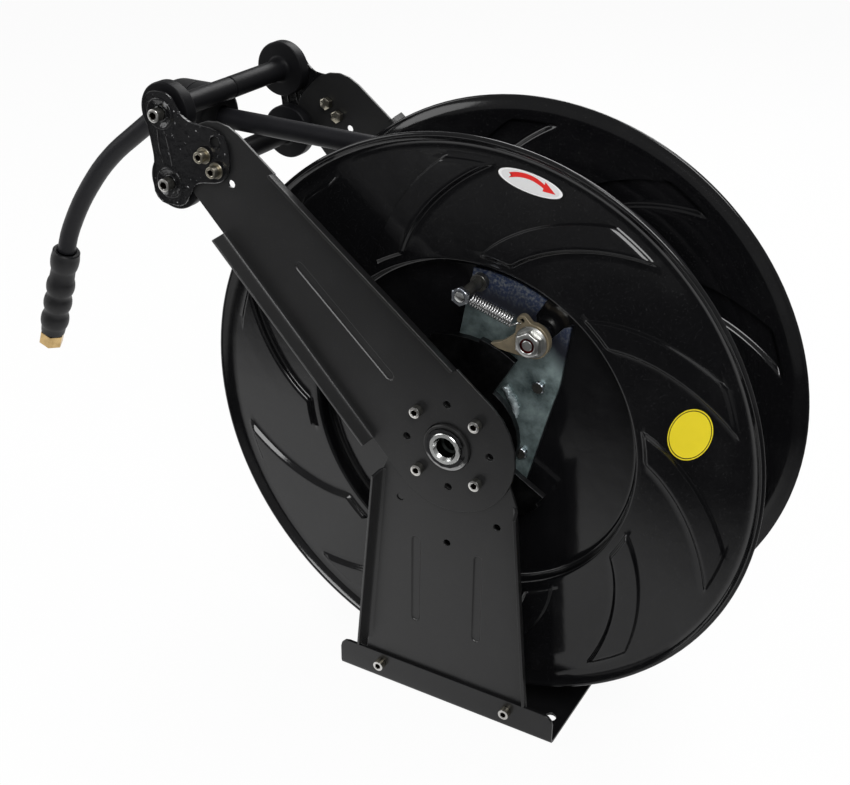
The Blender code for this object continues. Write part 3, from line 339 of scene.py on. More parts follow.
# a second material on the faces between two radii and two heights
def tint(piece, material, centre, axis, least, most, above, under=1.0):
    axis = Vector(axis).normalized()
    centre = Vector(centre)
    place = len(piece.data.materials)
    piece.data.materials.append(material)
    for face in piece.data.polygons:
        away = Vector(face.center) - centre
        height = away.dot(axis)
        reach = (away - axis * height).length
        if least < reach < most and above < height < under:
            face.material_index = place


def colour(*parts):  # one part makes a grey
    return (*(parts * 3)[:3], 1.0)


# shader maths: an expression on these adds its Math nodes

class Value:
    def __init__(self, tree, socket):
        self.tree = tree
        self.socket = socket

    def maths(self, operation, other=None, flipped=False):
        node = self.tree.nodes.new("ShaderNodeMath")
        node.operation = operation
        pair = (other, self) if flipped else (self, other)
        for place, value in enumerate(pair):
            if isinstance(value, Value):
                self.tree.links.new(value.socket, node.inputs[place])
            elif value is not None:
                node.inputs[place].default_value = value
        return Value(self.tree, node.outputs[0])

    def __add__(self, other):
        return self.maths("ADD", other)

    __radd__ = __add__

    def __mul__(self, other):
        return self.maths("MULTIPLY", other)

    __rmul__ = __mul__

    def __sub__(self, other):
        return self.maths("SUBTRACT", other)

    def __rsub__(self, other):
        return self.maths("SUBTRACT", other, flipped=True)

    def __pow__(self, other):
        return self.maths("POWER", other)

    def most(self, other):
        return self.maths("MAXIMUM", other)


class Finish:
    def __init__(self, label, base, roughness, metallic=0.0, **fixed):
        self.material = bpy.data.materials.new(label)
        self.material.use_nodes = True
        self.tree = self.material.node_tree
        self.shader = self.tree.nodes["Principled BSDF"]
        self.place = self.node("ShaderNodeTexCoord", out="Object")
        self.shader.inputs["Base Color"].default_value = colour(*base)
        self.shader.inputs["Roughness"].default_value = roughness
        self.shader.inputs["Metallic"].default_value = metallic
        for name, value in fixed.items():
            self.shader.inputs[name.replace("_", " ")].default_value = value

    def node(self, kind, settings=None, values=None, out=0):
        made = self.tree.nodes.new(kind)
        for name, value in (settings or {}).items():
            if name == "stops":
                for element, (spot, grey) in zip(made.color_ramp.elements, value):
                    element.position = spot
                    element.color = colour(grey)
            else:
                setattr(made, name, value)
        for name, value in (values or {}).items():
            if isinstance(value, Value):
                self.tree.links.new(value.socket, made.inputs[name])
            else:
                made.inputs[name].default_value = value
        return Value(self.tree, made.outputs[out])

    def noise(self, scale, detail=2.0, rough=0.5, place=None):
        values = {"Vector": place or self.place, "Scale": scale, "Detail": detail,
                  "Roughness": rough}
        return self.node("ShaderNodeTexNoise", values=values)

    def ramp(self, value, low, high):
        stops = ((low, 0.0), (high, 1.0))
        return self.node("ShaderNodeValToRGB", {"stops": stops}, {0: value})

    def along(self, number):  # x, y or z as a value
        return self.node("ShaderNodeSeparateXYZ", values={0: self.place}, out=number)

    def reachFrom(self, x, z):  # distance from a line along y
        away = self.node("ShaderNodeVectorMath", {"operation": "SUBTRACT"},
                         {0: self.place, 1: (x, 0.0, z)})
        flat = self.node("ShaderNodeVectorMath", {"operation": "MULTIPLY"},
                         {0: away, 1: (1.0, 0.0, 1.0)})
        return self.node("ShaderNodeVectorMath", {"operation": "LENGTH"}, {0: flat}, out=1)

    def mixed(self, first, second, amount):
        values = {0: amount, 6: first, 7: second}
        return self.node("ShaderNodeMix", {"data_type": "RGBA"}, values, out=2)

    def layered(self, first, second, amount):
        return self.node("ShaderNodeMixShader", values={0: amount, 1: first, 2: second})

    def feed(self, name, value):
        self.tree.links.new(value.socket, self.shader.inputs[name])

    def done(self, shade, rough, height, depth):
        values = {"Height": height, "Distance": depth, "Strength": 1.0}
        self.feed("Base Color", shade)
        self.feed("Roughness", rough)
        self.feed("Normal", self.node("ShaderNodeBump", values=values))
        return self.material


paint = {"sheen": 0.5, "dust": 0.025}  # specular level and how much dust shows
paintedHighlightSpots = (  # painted highlights on the casting's pans, drawn as bright bare metal: x, z and how far it spreads
    (-0.2630, 0.5120, 0.0030), (-0.2712, 0.4368, 0.0032), (-0.2545, 0.4985, 0.0014),
)


def blackPaint(label, base, gloss, peel, peelScale=420.0, wearAndHighlight=0.0, wavy=6.0):
    made = Finish(label, base, gloss, Specular_IOR_Level=paint["sheen"])
    cloud = made.noise(7.0, 4.0, 0.6)
    fine = made.noise(peelScale)
    specks = made.ramp(made.noise(1300.0, 0.0, 0.5), 0.77, 0.81)
    dusty = made.ramp(made.noise(24.0, 5.0, 0.7), 0.50, 0.85) * paint["dust"]
    high = colour(*(part * 1.5 + 0.001 for part in base))
    shade = made.mixed(colour(*base), high, cloud)
    shade = made.mixed(shade, colour(0.20), dusty + specks * 0.10)
    rough = cloud * 0.08 + (gloss - 0.04) + dusty * 1.5
    # random wear chips from the grit noise, plus painted highlights as bright metal at the
    # listed spots
    if wearAndHighlight:
        grit = made.noise(300.0, 3.0, 0.6)
        wearAndHighlightMask = made.ramp(grit, 0.685, 0.73) * wearAndHighlight
        for x, z, reach in paintedHighlightSpots:
            spot = made.ramp(reach - made.reachFrom(x, z) + (grit - 0.5) * 0.008, 0.0, 0.0016)
            wearAndHighlightMask = wearAndHighlightMask.most(spot * 0.9)
        shade = made.mixed(shade, colour(0.75, 0.75, 0.76), wearAndHighlightMask)
        made.feed("Metallic", wearAndHighlightMask * 0.5)
    return made.done(shade, rough, fine + cloud * wavy, peel)


def zincOf(label, gloss):
    made = Finish(label, (0.1, 0.12, 0.12), gloss, 0.45)
    cloud = made.noise(55.0, 5.0, 0.65)
    grain = made.noise(420.0, 4.0, 0.7)
    wavy = made.reachFrom(axle.x, axle.z) + (cloud - 0.5) * 0.016  # bands round the axle
    green = made.mixed(colour(0.055, 0.078, 0.080), colour(0.34, 0.43, 0.43),
                       made.ramp(cloud, 0.30, 0.72))
    # painted shade: the near-black band across the plate's middle stands for its shadow and the
    # mirrored dark dish
    dark = colour(0.022, 0.024, 0.034)
    blue = made.mixed(colour(0.035, 0.055, 0.13), colour(0.42, 0.44, 0.40),
                      made.ramp(grain, 0.46, 0.80))
    shade = made.mixed(green, dark, made.ramp(wavy, 0.100, 0.112))
    shade = made.mixed(shade, blue, made.ramp(wavy, 0.119, 0.136))
    rough = cloud * 0.2 + grain * 0.1 + (gloss - 0.12)
    return made.done(shade, rough, grain + cloud, 0.00003)


def paperOf(label, base):
    made = Finish(label, base, 0.35, Specular_IOR_Level=0.4)
    cloud = made.noise(60.0, 3.0, 0.5)
    shade = made.mixed(colour(*(part * 0.9 for part in base)), colour(*base), cloud)
    return made.done(shade, cloud * 0.1 + 0.30, cloud, 0.00001)


def plated(label, base, other, gloss, grain=0.00003, metal=1.0):
    made = Finish(label, base, gloss, metal)
    cloud = made.noise(60.0, 4.0, 0.6)
    values = {"Vector": made.place, "Scale": (1.0, 1.0, 0.12), "Rotation": (0.3, 0.5, 0.2)}
    scratch = made.noise(900.0, 3.0, 0.6, made.node("ShaderNodeMapping", values=values))
    blotch = made.ramp(made.noise(150.0, 3.0, 0.6), 0.35, 0.72)
    shade = made.mixed(colour(*base), colour(*other), blotch)
    rough = cloud * 0.22 + scratch * 0.12 + (gloss - 0.15)
    return made.done(shade, rough, scratch + cloud, grain)


def rubberLike(label, base, gloss, depth=0.00006, scale=700.0, dust=0.03, sheen=0.35):
    made = Finish(label, base, gloss, Specular_IOR_Level=sheen)
    cloud = made.noise(30.0, 4.0, 0.6)
    fine = made.noise(scale, 3.0, 0.6)
    dusty = made.ramp(made.noise(70.0, 5.0, 0.7), 0.45, 0.8) * dust
    shade = made.mixed(colour(*base), colour(0.12), dusty + cloud * 0.01)
    return made.done(shade, cloud * 0.2 + (gloss - 0.1), fine, depth)


discPaint = blackPaint("disc-paint", (0.0035, 0.0035, 0.0040), 0.12, 0.00003, 260.0, wavy=20.0)
framePaint = blackPaint("frame-paint", (0.0105, 0.0105, 0.0108), 0.33, 0.00004, 420.0)
basePaint = blackPaint("base-paint", (0.0055, 0.0055, 0.0060), 0.28, 0.00004, 420.0)
castPaint = blackPaint("guide-paint", (0.0065, 0.0065, 0.0072), 0.13, 0.00070, 170.0, 0.75, 1.0)
darkSteel = plated("dark-steel", (0.035, 0.035, 0.037), (0.07, 0.07, 0.072), 0.36)
headSteel = plated("head-steel", (0.085, 0.083, 0.075), (0.045, 0.045, 0.042), 0.28, metal=0.6)
# painted highlight: a bright ring for screw-head top faces, whose sides stay dark steel
paintedHighlightRing = plated("bright-ring", (0.85, 0.84, 0.82), (0.68, 0.66, 0.62), 0.28)
# painted shade for the dark inside of hex sockets
paintedSocketShade = plated("painted-socket-shade", (0.045, 0.028, 0.018), (0.015, 0.012, 0.010), 0.45)
boltPlate = plated("bolt-plate", (0.52, 0.49, 0.41), (0.34, 0.31, 0.24), 0.30)
nickel = plated("polished-nickel", (0.78, 0.79, 0.78), (0.66, 0.67, 0.66), 0.20)
# painted shade for the deep inside of the inlet's bore
paintedBoreShade = plated("painted-bore-shade", (0.07, 0.08, 0.075), (0.03, 0.035, 0.034), 0.30)
zincPlate = plated("zinc-plate", (0.55, 0.57, 0.60), (0.34, 0.37, 0.42), 0.30)
carrierZinc = zincOf("carrier-zinc", 0.30)
chromate = plated("olive-chromate", (0.27, 0.225, 0.150), (0.19, 0.16, 0.110), 0.36, metal=0.4)
boltZinc = plated("pawl-bolt-zinc", (0.72, 0.72, 0.70), (0.55, 0.56, 0.55), 0.30)
redMark = plated("red-mark", (0.16, 0.012, 0.012), (0.06, 0.006, 0.006), 0.45)
weldZinc = plated("weld-zinc", (0.60, 0.68, 0.70), (0.20, 0.25, 0.26), 0.34, 0.0004, 0.6)
brassPlate = plated("brass-plate", (0.64, 0.45, 0.21), (0.44, 0.30, 0.13), 0.26)
springWire = plated("spring-wire", (0.72, 0.72, 0.72), (0.55, 0.55, 0.55), 0.24)
hoseRubber = rubberLike("hose-rubber", (0.010, 0.010, 0.012), 0.42, dust=0.02, sheen=0.18)
gripRubber = rubberLike("grip-rubber", (0.009, 0.009, 0.010), 0.46, 0.00010, 500.0, 0.04, 0.3)
nylonBlack = rubberLike("nylon", (0.006, 0.006, 0.007), 0.42, 0.00004, 500.0, 0.01, 0.12)
whitePaper = paperOf("white-paper", (0.80, 0.80, 0.80))
paleEdge = paperOf("pale-edge", (0.95, 0.95, 0.95))
yellowPaper = paperOf("yellow-paper", (0.92, 0.74, 0.012))
redPaper = paperOf("red-paper", (0.80, 0.020, 0.016))
blackPaper = paperOf("black-paper", (0.006, 0.006, 0.006))
print("stage: finishes made")


# hose: two layers on the drum, a run through the guide to the stop, then the free end
hose = {
    "radius": 0.009, "windRadius": 0.188, "innerRadius": 0.1696, "pitch": 0.0185,
    "crossing": 0.0276, "endY": 0.0457, "turns": 106 / 24, "innerTurns": 4.9,
    "entry": (-0.262, 0.0022, 0.4756), "stub": 0.084, "perTurn": 72, "gap": 0.0003,
    "stopNear": -0.2773, "stopFar": -0.3345, "stopZ": 0.4765, "inStop": 0.0227,
    "gripTop": (-0.489, 0.0, 0.308), "gripWay": (-0.3374, 0.0, -0.9414),
    "hang": ((-0.354, 0.4660), (-0.370, 0.4540), (-0.389, 0.4395), (-0.408, 0.4245),
             (-0.431, 0.4020), (-0.455, 0.3720), (-0.4715, 0.3465)),
}


def runLine():
    entry = Vector(hose["entry"])
    flat = Vector((entry.x, entry.z - axle.z))
    angle = math.atan2(flat.y, flat.x) - math.acos(hose["windRadius"] / flat.length)
    touch = Vector((hose["windRadius"] * math.cos(angle), hose["endY"],
                    axle.z + hose["windRadius"] * math.sin(angle)))
    return touch, (entry - touch).normalized(), angle


def woundTurns(radius, count, startAngle, startY, crossing):
    points = []
    steps = round(count * hose["perTurn"])
    for k in range(steps, -1, -1):
        turn = startAngle - 2.0 * math.pi * k / hose["perTurn"]
        along = k / hose["perTurn"]
        y = startY - crossing * min(along, 1.0) - hose["pitch"] * max(along - 1.0, 0.0)
        points.append(Vector((radius * math.cos(turn), y, axle.z + radius * math.sin(turn))))
    return points


def makeHose():
    touch, way, angle = runLine()
    wide, stub, endY = hose["radius"], hose["stub"], hose["endY"]
    points = woundTurns(hose["windRadius"], hose["turns"], angle, endY, hose["crossing"])
    points += [touch + way * stub / 2.0, touch + way * stub]
    dress(tube("hose-winding", points, wide, 22), "hose_winding", hoseRubber)
    points = woundTurns(hose["innerRadius"], hose["innerTurns"], angle, endY, hose["pitch"])
    dress(tube("hose-inner-layer", points, wide, 18), "hose_core", hoseRubber)

    start = touch + way * (stub + hose["gap"])
    mouth = Vector((hose["stopNear"], 0.0, hose["stopZ"]))
    inStop = mouth - Vector((hose["inStop"], 0.0, 0.0))
    controls = [start + way * part for part in (0.0, 0.03, 0.09, 0.145, 0.170)]
    points = route(controls + [mouth, inStop], 0.008)
    dress(tube("hose-run", points, wide, 26), "hose_run", hoseRubber)

    top = Vector(hose["gripTop"])
    down = Vector(hose["gripWay"]).normalized()
    leave = Vector((hose["stopFar"] - 0.001, 0.0, hose["stopZ"]))
    first = inStop - Vector((hose["gap"], 0.0, 0.0))
    controls = [leave] + [(x, 0.0, z) for x, z in hose["hang"]] + [top - down * 0.018, top]
    points = [first, (first + leave) / 2.0] + route(controls, 0.011)
    tail = tube("hose-tail", points, wide, 26)
    dress(tail, "hose_tail", hoseRubber)
    length = sum((b - a).length for a, b in zip(points, points[1:]))
    return tail, points, length


hoseTail, tailPath, tailLength = makeHose()

grip = {
    "neck": 0.0128, "bulge": 0.0146, "length": 0.1058, "flats": 0.022, "nutLength": 0.014,
    "bulges": ((0.012, 0.011), (0.0445, 0.0085), (0.066, 0.0085), (0.0885, 0.0085)),
    "nutRim": 0.0016, "boreRim": 0.0030, "boreDeep": 0.0095,
}


def makeGrip():
    top = Vector(hose["gripTop"])
    down = Vector(hose["gripWay"]).normalized()
    neck, bulges = grip["neck"], grip["bulges"]
    profile = [(0.0092, 0.0015), (0.0105, 0.0004), (0.0128, 0.0003), (0.0138, 0.0016)]
    for place, (centre, half) in enumerate(bulges):
        for k in range(-6, 7):
            part = k / 6.0
            height = centre + half * part
            if height < 0.0030:
                continue
            swell = (grip["bulge"] - neck) * (1.0 - part * part) ** 0.8
            profile.append((neck + swell, height))
        if place + 1 < len(bulges):
            profile.append((neck - 0.0004, centre + half + 0.0018))
    profile += [(neck - 0.0003, 0.1015), (neck - 0.0006, 0.1046), (neck - 0.0016, 0.1057),
                (0.0, 0.1057)]
    sleeve = turned("grip-sleeve", profile, top, down, 56)
    dress(sleeve, "hose_grip", gripRubber)

    start = grip["length"] + hose["gap"]
    end = start + grip["nutLength"]
    deselectAll()
    corner = grip["flats"] / 2.0 / math.cos(math.pi / 6.0)
    turn = down.to_track_quat("Z", "Y").to_euler()
    bpy.ops.mesh.primitive_cylinder_add(vertices=6, radius=corner, depth=grip["nutLength"],
                                        location=top + down * (start + end) / 2.0,
                                        rotation=turn)
    nut = added("end-nut")
    pickFaces(nut, lambda face: abs(face.normal.dot(down)) > 0.9)
    bpy.ops.mesh.inset(thickness=grip["nutRim"], depth=0.0)
    pickFaces(nut, lambda face: len(face.vertices) == 6
              and (face.center - top).dot(down) > end - 0.0002)
    bpy.ops.mesh.inset(thickness=grip["boreRim"], depth=0.0)
    sink = -down * grip["boreDeep"]
    bpy.ops.mesh.extrude_region_move(TRANSFORM_OT_translate={"value": sink})
    mode("OBJECT")
    softenEdges(nut, 0.0004, 3, 20.0)
    smooth(nut, 40.0)
    evenNormals(nut)
    dress(nut, "hose_nut", brassPlate)
    return sleeve, nut


gripSleeve, endNut = makeGrip()

stop = {"radius": 0.028, "face": 0.021, "split": 0.0008, "groove": 0.0012}


def makeStop():
    middle = (hose["stopNear"] + hose["stopFar"]) / 2.0
    half = (hose["stopNear"] - hose["stopFar"]) / 2.0
    bore = hose["radius"] + 0.0006
    face, wide, split = stop["face"], stop["radius"], stop["split"]
    slope, floor = face + 0.7 * (wide - face), wide - stop["groove"]
    corners = [(bore, -half + 0.002), (bore + 0.001, -half), (face, -half),
               (slope, -half + 0.0035), (wide, -half + 0.010), (wide, -split),
               (floor, -split, 0), (floor, split, 0), (wide, split), (wide, half - 0.010),
               (slope, half - 0.0035), (face, half), (bore + 0.001, half),
               (bore, half - 0.002)]
    body = turned("hose-stop", roundedProfile(corners, 0.0030), (middle, 0.0, hose["stopZ"]),
                  (-1, 0, 0), 64, closed=True)
    dress(body, "hose_stop", gripRubber)
    return body


stopBody = makeStop()
print("stage: hose, grip and stop made, tail %.3f m long" % tailLength)


disc = {
    "radius": 0.250, "sheet": 0.0015, "face": 0.0565, "wall": 0.1472, "floor": 0.0425,
    "flare": 0.006, "lip": 0.011, "bead": 0.0019, "hole": 0.0303,
    "vanes": 10, "height": 0.004, "inner": 0.154, "outer": 0.232, "angle": 11.2,
    "twist": 27.9, "start": 10.3, "sharp": 0.7, "soft": 2.0, "end": 0.0045,
    "rings": 44, "rest": 0.2355,
}


def ease(value):
    value = min(1.0, max(0.0, value))
    return value * value * (3.0 - 2.0 * value)


def vaneTurn(radius):
    part = (radius - disc["inner"]) / (disc["outer"] - disc["inner"])
    return -disc["twist"] * min(1.0, max(0.0, part)) ** 1.12


def vaneRise(radius, phase):
    if radius < disc["inner"] - 0.001 or radius > disc["outer"] + 0.001:
        return 0.0
    ends = min(ease((radius - disc["inner"]) / disc["end"]),
               ease((disc["outer"] - radius) / disc["end"]))
    half = disc["angle"] / 2.0
    across = min(ease((phase + half) / disc["soft"]), ease((half - phase) / disc["sharp"]))
    return disc["height"] * ends * across


def discSection():
    face, floor, wall, sheet, radius = sizesOf(disc, "face floor wall sheet radius")
    near, far, rest, hole, roll = sizesOf(disc, "inner outer rest hole bead")
    start = radius - disc["lip"]
    edge = face + disc["flare"]
    radii = [near + (far - near) * k / disc["rings"] for k in range(disc["rings"] + 1)]
    for gap in (0.0010, 0.0022, 0.0045):  # closer rings where the vanes end
        radii += [near + gap, far - gap]
    radii.sort()
    corners = [(hole, floor), (wall - 0.0012, floor), (wall, face), (near - 0.001, face)]
    outer = roundedProfile(corners, 0.0060, 6) + [(r, face) for r in radii]
    outer += [(rest, face), (start, face), (start + 0.003, face + 0.0008),
              (start + 0.0055, face + 0.0024)]
    bead = []
    for k in range(13):
        turn = math.radians(150.0 - 245.0 * k / 12)
        bead.append((radius - roll + roll * math.cos(turn),
                     edge - roll + roll * math.sin(turn)))
    under = face - sheet
    inner = [(start + 0.0060, face + 0.0010), (start + 0.0030, under + 0.0006),
             (start, under), (rest, under)] + [(r, under) for r in reversed(radii)]
    corners = [(near - 0.001, under), (wall + 0.0024, under), (wall - 0.0034, floor - sheet),
               (hole, floor - sheet)]
    back = roundedProfile(corners, 0.0050, 5)
    return outer + bead + inner + back[1:]


def phaseList():
    half, pitch = disc["angle"] / 2.0, 360.0 / disc["vanes"]
    marks = [-half + disc["soft"] * k / 8 for k in range(9)]
    marks += [half - disc["sharp"] * k / 6 for k in range(6, -1, -1)]
    plain = (half - disc["sharp"]) - (-half + disc["soft"])
    marks += [-half + disc["soft"] + plain * k / 8 for k in range(1, 8)]
    rest = pitch - 2 * half
    marks += [half + rest * k / 10 for k in range(1, 10)]
    return sorted(marks)


def makeDisc(side, node):
    phases = phaseList()
    count = len(phases)
    section = [(r, side * y) for r, y in discSection()]
    piece = turned(fineName(node), section, axle, (0, 1, 0), count * disc["vanes"],
                   closed=True)
    pitch = 360.0 / disc["vanes"]
    for vert in piece.data.vertices:
        x, z = vert.co.x, vert.co.z - axle.z
        radius = math.hypot(x, z)
        whole = math.degrees(math.atan2(z, x)) % 360.0
        column = round(whole / 360.0 * count * disc["vanes"]) % (count * disc["vanes"])
        phase = phases[column % count]
        turn = math.radians(disc["start"] + pitch * (column // count) + phase
                            + vaneTurn(radius))
        vert.co.x = radius * math.cos(turn)
        vert.co.z = axle.z + radius * math.sin(turn)
        if vert.co.y * side > disc["face"] - disc["sheet"] - 0.0001:
            vert.co.y += side * vaneRise(radius, phase)
    outward(piece)
    smooth(piece, 40.0)
    dress(piece, node, discPaint)


for side, word in sides:
    makeDisc(side, word + "_disc")
print("stage: discs made")


roller = {
    "upper": (-0.26952, 0.50368), "lower": (-0.26502, 0.44598), "tube": 0.0095,
    "flange": 0.0245, "width": 0.0125, "length": 0.087, "boss": 0.0903, "bore": 0.0043,
}


def makeRollers():
    bore, wide, flange, end, boss = sizesOf(roller, "bore tube flange length boss")
    inner = end - roller["width"]
    corners = [(bore, 0.0002), (wide, 0.0002), (wide, inner - 0.003), (wide + 0.002, inner),
               (flange, inner + 0.0008), (flange, end), (0.013, end), (0.0115, end - 0.002),
               (0.009, end - 0.002), (0.008, boss), (bore, boss)]
    for label in ("upper", "lower"):
        x, z = roller[label]
        for side, word in sides:
            lathed(label + "_" + word + "_roller", roundedProfile(corners, 0.0016),
                   (x, 0.0, z), (0, side, 0), nylonBlack, 64, closed=True)


makeRollers()
print("stage: rollers made")


guide = {
    "front": 0.0936, "rim": 0.0026, "sink": 0.0016, "pan": 0.0122,
    "grooves": (-0.0058, 0.0045),
}


def sunkFace(side):  # a raised rim round the casting's outer face
    def shape(piece):
        for face in piece.data.polygons:
            face.select = (face.normal.y * side > 0.9
                           and abs(face.center.y - side * guide["front"]) < 0.0002)
        mode("EDIT")
        bpy.ops.mesh.inset(thickness=guide["rim"], depth=0.0)
        bpy.ops.mesh.inset(thickness=guide["rim"] * 0.5, depth=-guide["sink"])
        mode("OBJECT")
    return shape


def makeGuides():
    low = guide["front"] - guide["sink"]
    for side, word in sides:
        node = word + "_guide_bracket"
        cast = refined(node, 0.0011, 4, shape=sunkFace(side))
        parts = [cast]
        for label in ("upper", "lower"):
            x, z = roller[label]
            wide = guide["pan"]
            profile = [(wide + 0.0014, low - 0.0002), (wide + 0.0006, guide["front"] - 0.0001),
                       (wide - 0.0004, guide["front"]), (wide - 0.0046, low + 0.0002),
                       (0.0072, low + 0.0001), (0.0072, low - 0.0002)]
            parts.append(turned(node + "-" + label + "-pan", roundedProfile(profile, 0.0009),
                                (x, 0.0, z), (0, side, 0), 48, closed=True))
        (ux, uz), (lx, lz) = roller["upper"], roller["lower"]
        for aside in guide["grooves"]:
            line = [(ux + aside * 0.7, side * (low - 0.0003), uz - 0.014),
                    ((ux + lx) / 2.0 + aside, side * (low - 0.0001), (uz + lz) / 2.0),
                    (lx + aside * 0.9, side * (low - 0.0003), lz + 0.015)]
            parts.append(tube(node + "-ridge", route(line, 0.004), 0.0010, 10))
        whole = joined(fineName(node), parts)
        smooth(whole, 35.0)
        evenNormals(whole)
        dress(whole, node, castPaint)


makeGuides()


# pressed and cut sheets: edge radius, steps and finish
sheets = {
    "front_post": (0.0005, 3, framePaint), "rear_post": (0.0005, 3, framePaint),
    "front_arm": (0.0005, 3, framePaint), "rear_arm": (0.0005, 3, framePaint),
    "base_plate": (0.0006, 3, basePaint), "ratchet_plate": (0.0003, 2, darkSteel),
    "inlet_snap_ring": (0.0002, 2, darkSteel), "pawl_carrier": (0.0004, 2, carrierZinc),
    "pawl": (0.0007, 3, chromate),
}
for node, (width, steps, material) in sheets.items():
    dress(refined(node, width, steps), node, material)
print("stage: sheets dressed")

screw = {
    "head": 0.0049, "shank": 0.0031, "socket": 0.0025, "mark": 0.00271, "deep": 0.0046,
    "washer": 0.0068, "nut": 0.0050, "nutMark": 0.00531,
}
screwKinds = (  # name, labels, seat, far end, finish, head's height and nut's face
    ("_hub_screw_", ("1", "2", "3", "4"), 0.0906, 0.0802, headSteel, 0.0062, None),
    ("_base_screw_", ("left", "right"), 0.0911, 0.0830, boltPlate, 0.0062, None),
    ("_bracket_bolt_", ("outer", "inner"), 0.0939, 0.0818, boltPlate, 0.008, 0.0875),
)


def headProfile(head, mark, top, deep, cone):  # the outer edge, then down the socket
    return [(head, top - 0.0007), (head - 0.0002, top - 0.0002), (head - 0.0007, top),
            (mark + 0.0004, top), (mark, top - 0.0003), (mark, top - deep),
            (0.0, top - deep - cone)]


def capScrew(node, seat, reach, side, material, ring, height, nut):
    head, socket, mark, shank, deep = sizesOf(screw, "head socket mark shank deep")
    top = seat + height
    hexes = [(mark, socket)]
    if nut is None:
        back = [(0.0, reach), (shank - 0.0004, reach), (shank, reach + 0.0004),
                (shank, seat), (head, seat)]
    else:
        wide, flat, edge = sizesOf(screw, "nutMark nut washer")
        back = [(0.0, reach), (flat - 0.0008, reach), (wide, reach + 0.0006),
                (wide, nut - 0.0006), (flat - 0.0008, nut), (shank, nut), (shank, seat),
                (edge - 0.0002, seat), (edge, seat + 0.0002), (edge, seat + 0.0010),
                (edge - 0.0002, seat + 0.0012), (head, seat + 0.0012)]
        hexes.append((wide, flat))
    face = headProfile(head, mark, top, deep, 0.0009)
    centre, axis = spotOf(node), (0, side, 0)
    piece = lathed(node, back + face, centre, axis, material, hexes=hexes)
    tint(piece, ring, centre, axis, mark, head - 0.0001, top - 0.0006)
    # painted shade inside the hex socket
    tint(piece, paintedSocketShade, centre, axis, -1.0, mark + 0.0003, top - deep - 0.002,
         top - 0.0002)


def spotOf(node):
    low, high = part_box(node)
    return ((low[0] + high[0]) / 2.0, 0.0, (low[2] + high[2]) / 2.0)


def makeScrews():
    for side, word in sides:
        for kind, ends, seat, reach, material, height, nut in screwKinds:
            # painted highlight: hub screws, base screws and rear bracket bolts get a bright top
            # ring over a dark steel side
            ring = boltPlate if nut and side < 0 else paintedHighlightRing
            for end in ends:
                capScrew(word + kind + end, seat, reach, side, material, ring, height, nut)


through = {"seat": 0.0939, "end": -0.1024, "top": 0.1014, "shank": 0.0040, "head": 0.0056,
           "socket": 0.0032, "key": 0.0029, "deep": 0.0049, "nut": 0.0068, "nutFlat": 0.0064}


def makeRollerBolts():
    seat, end, top, shank = sizesOf(through, "seat end top shank")
    head, socket, deep, wide = sizesOf(through, "head socket deep nut")
    profile = [(0.0, end), (shank - 0.0004, end), (shank, end + 0.0004), (shank, seat),
               (head, seat)] + headProfile(head, socket, top, deep, 0.0008)
    nut = [(shank + 0.0002, seat), (wide - 0.0008, seat), (wide, seat + 0.0006),
           (wide, top - 0.0016), (wide - 0.0008, top - 0.0010), (shank + 0.0006, top - 0.0010),
           (shank + 0.0002, top - 0.0014)]
    for label in ("upper", "lower"):
        x, z = roller[label]
        centre = (x, 0.0, z)
        bolt = lathed(label + "_roller_bolt", profile, centre, toFront, headSteel,
                      hexes=[(socket, through["key"])])
        # painted highlight: the bolt head's top ring in bright metal over its dark steel side
        tint(bolt, paintedHighlightRing, centre, toFront, socket + 0.0002, head - 0.0001,
             top - 0.0006)
        # painted shade inside the hex socket
        tint(bolt, paintedSocketShade, centre, toFront, -1.0, socket + 0.0002, seat + 0.0001,
             top - 0.0002)
        lathed(label + "_roller_nut", nut, centre, toRear, zincPlate, closed=True,
               hexes=[(wide, through["nutFlat"])])


makeScrews()
makeRollerBolts()
print("stage: screws made")

latch = {
    "pawl": (0.0555, 0.0, 0.365), "post": (0.0035, 0.0, 0.3995), "tab": (0.0466, 0.0, 0.3806),
    "back": 0.0428, "seat": 0.0461, "postWide": 0.0046, "farPlane": 0.0765,
    "nearPlane": 0.0662, "wire": 0.00066, "coil": 0.0049, "curls": 17, "startRoom": 0.0068,
    "endRoom": 0.0055, "weldPlane": 0.0466, "weldWide": 0.0031,
    "weld": ((0.0285, 0.3135), (0.0330, 0.3070), (0.0385, 0.2970), (0.0375, 0.2890),
             (0.0320, 0.2820)),
}


def makePawlBolt():
    centre, back, seat, mark = latch["pawl"], latch["back"], latch["seat"], 0.01003
    profile = [(0.0, back), (0.0046, back), (0.0050, 0.0431), (0.0050, seat),
               (0.0096, seat), (0.0100, 0.0465), (0.0100, 0.0537), (0.0060, 0.0537),
               (0.0060, 0.0603), (0.0129, 0.0603), (0.0132, 0.0606), (0.0132, 0.0613),
               (0.0124, 0.0624), (mark, 0.0625), (mark, 0.0682), (0.0096, 0.0688),
               (0.0090, 0.0691), (0.0066, 0.0691), (0.0062, 0.0688), (0.0060, 0.0674),
               (0.0047, 0.0672), (0.0045, 0.0674), (0.0043, 0.0685), (0.0038, 0.0688),
               (0.0, 0.0687)]
    bolt = lathed("pawl_bolt", profile, centre, toFront, boltZinc, 60, hexes=[(mark, 0.0096)])
    tint(bolt, redMark, centre, toFront, 0.0042, 0.0062, 0.0665, 0.0686)


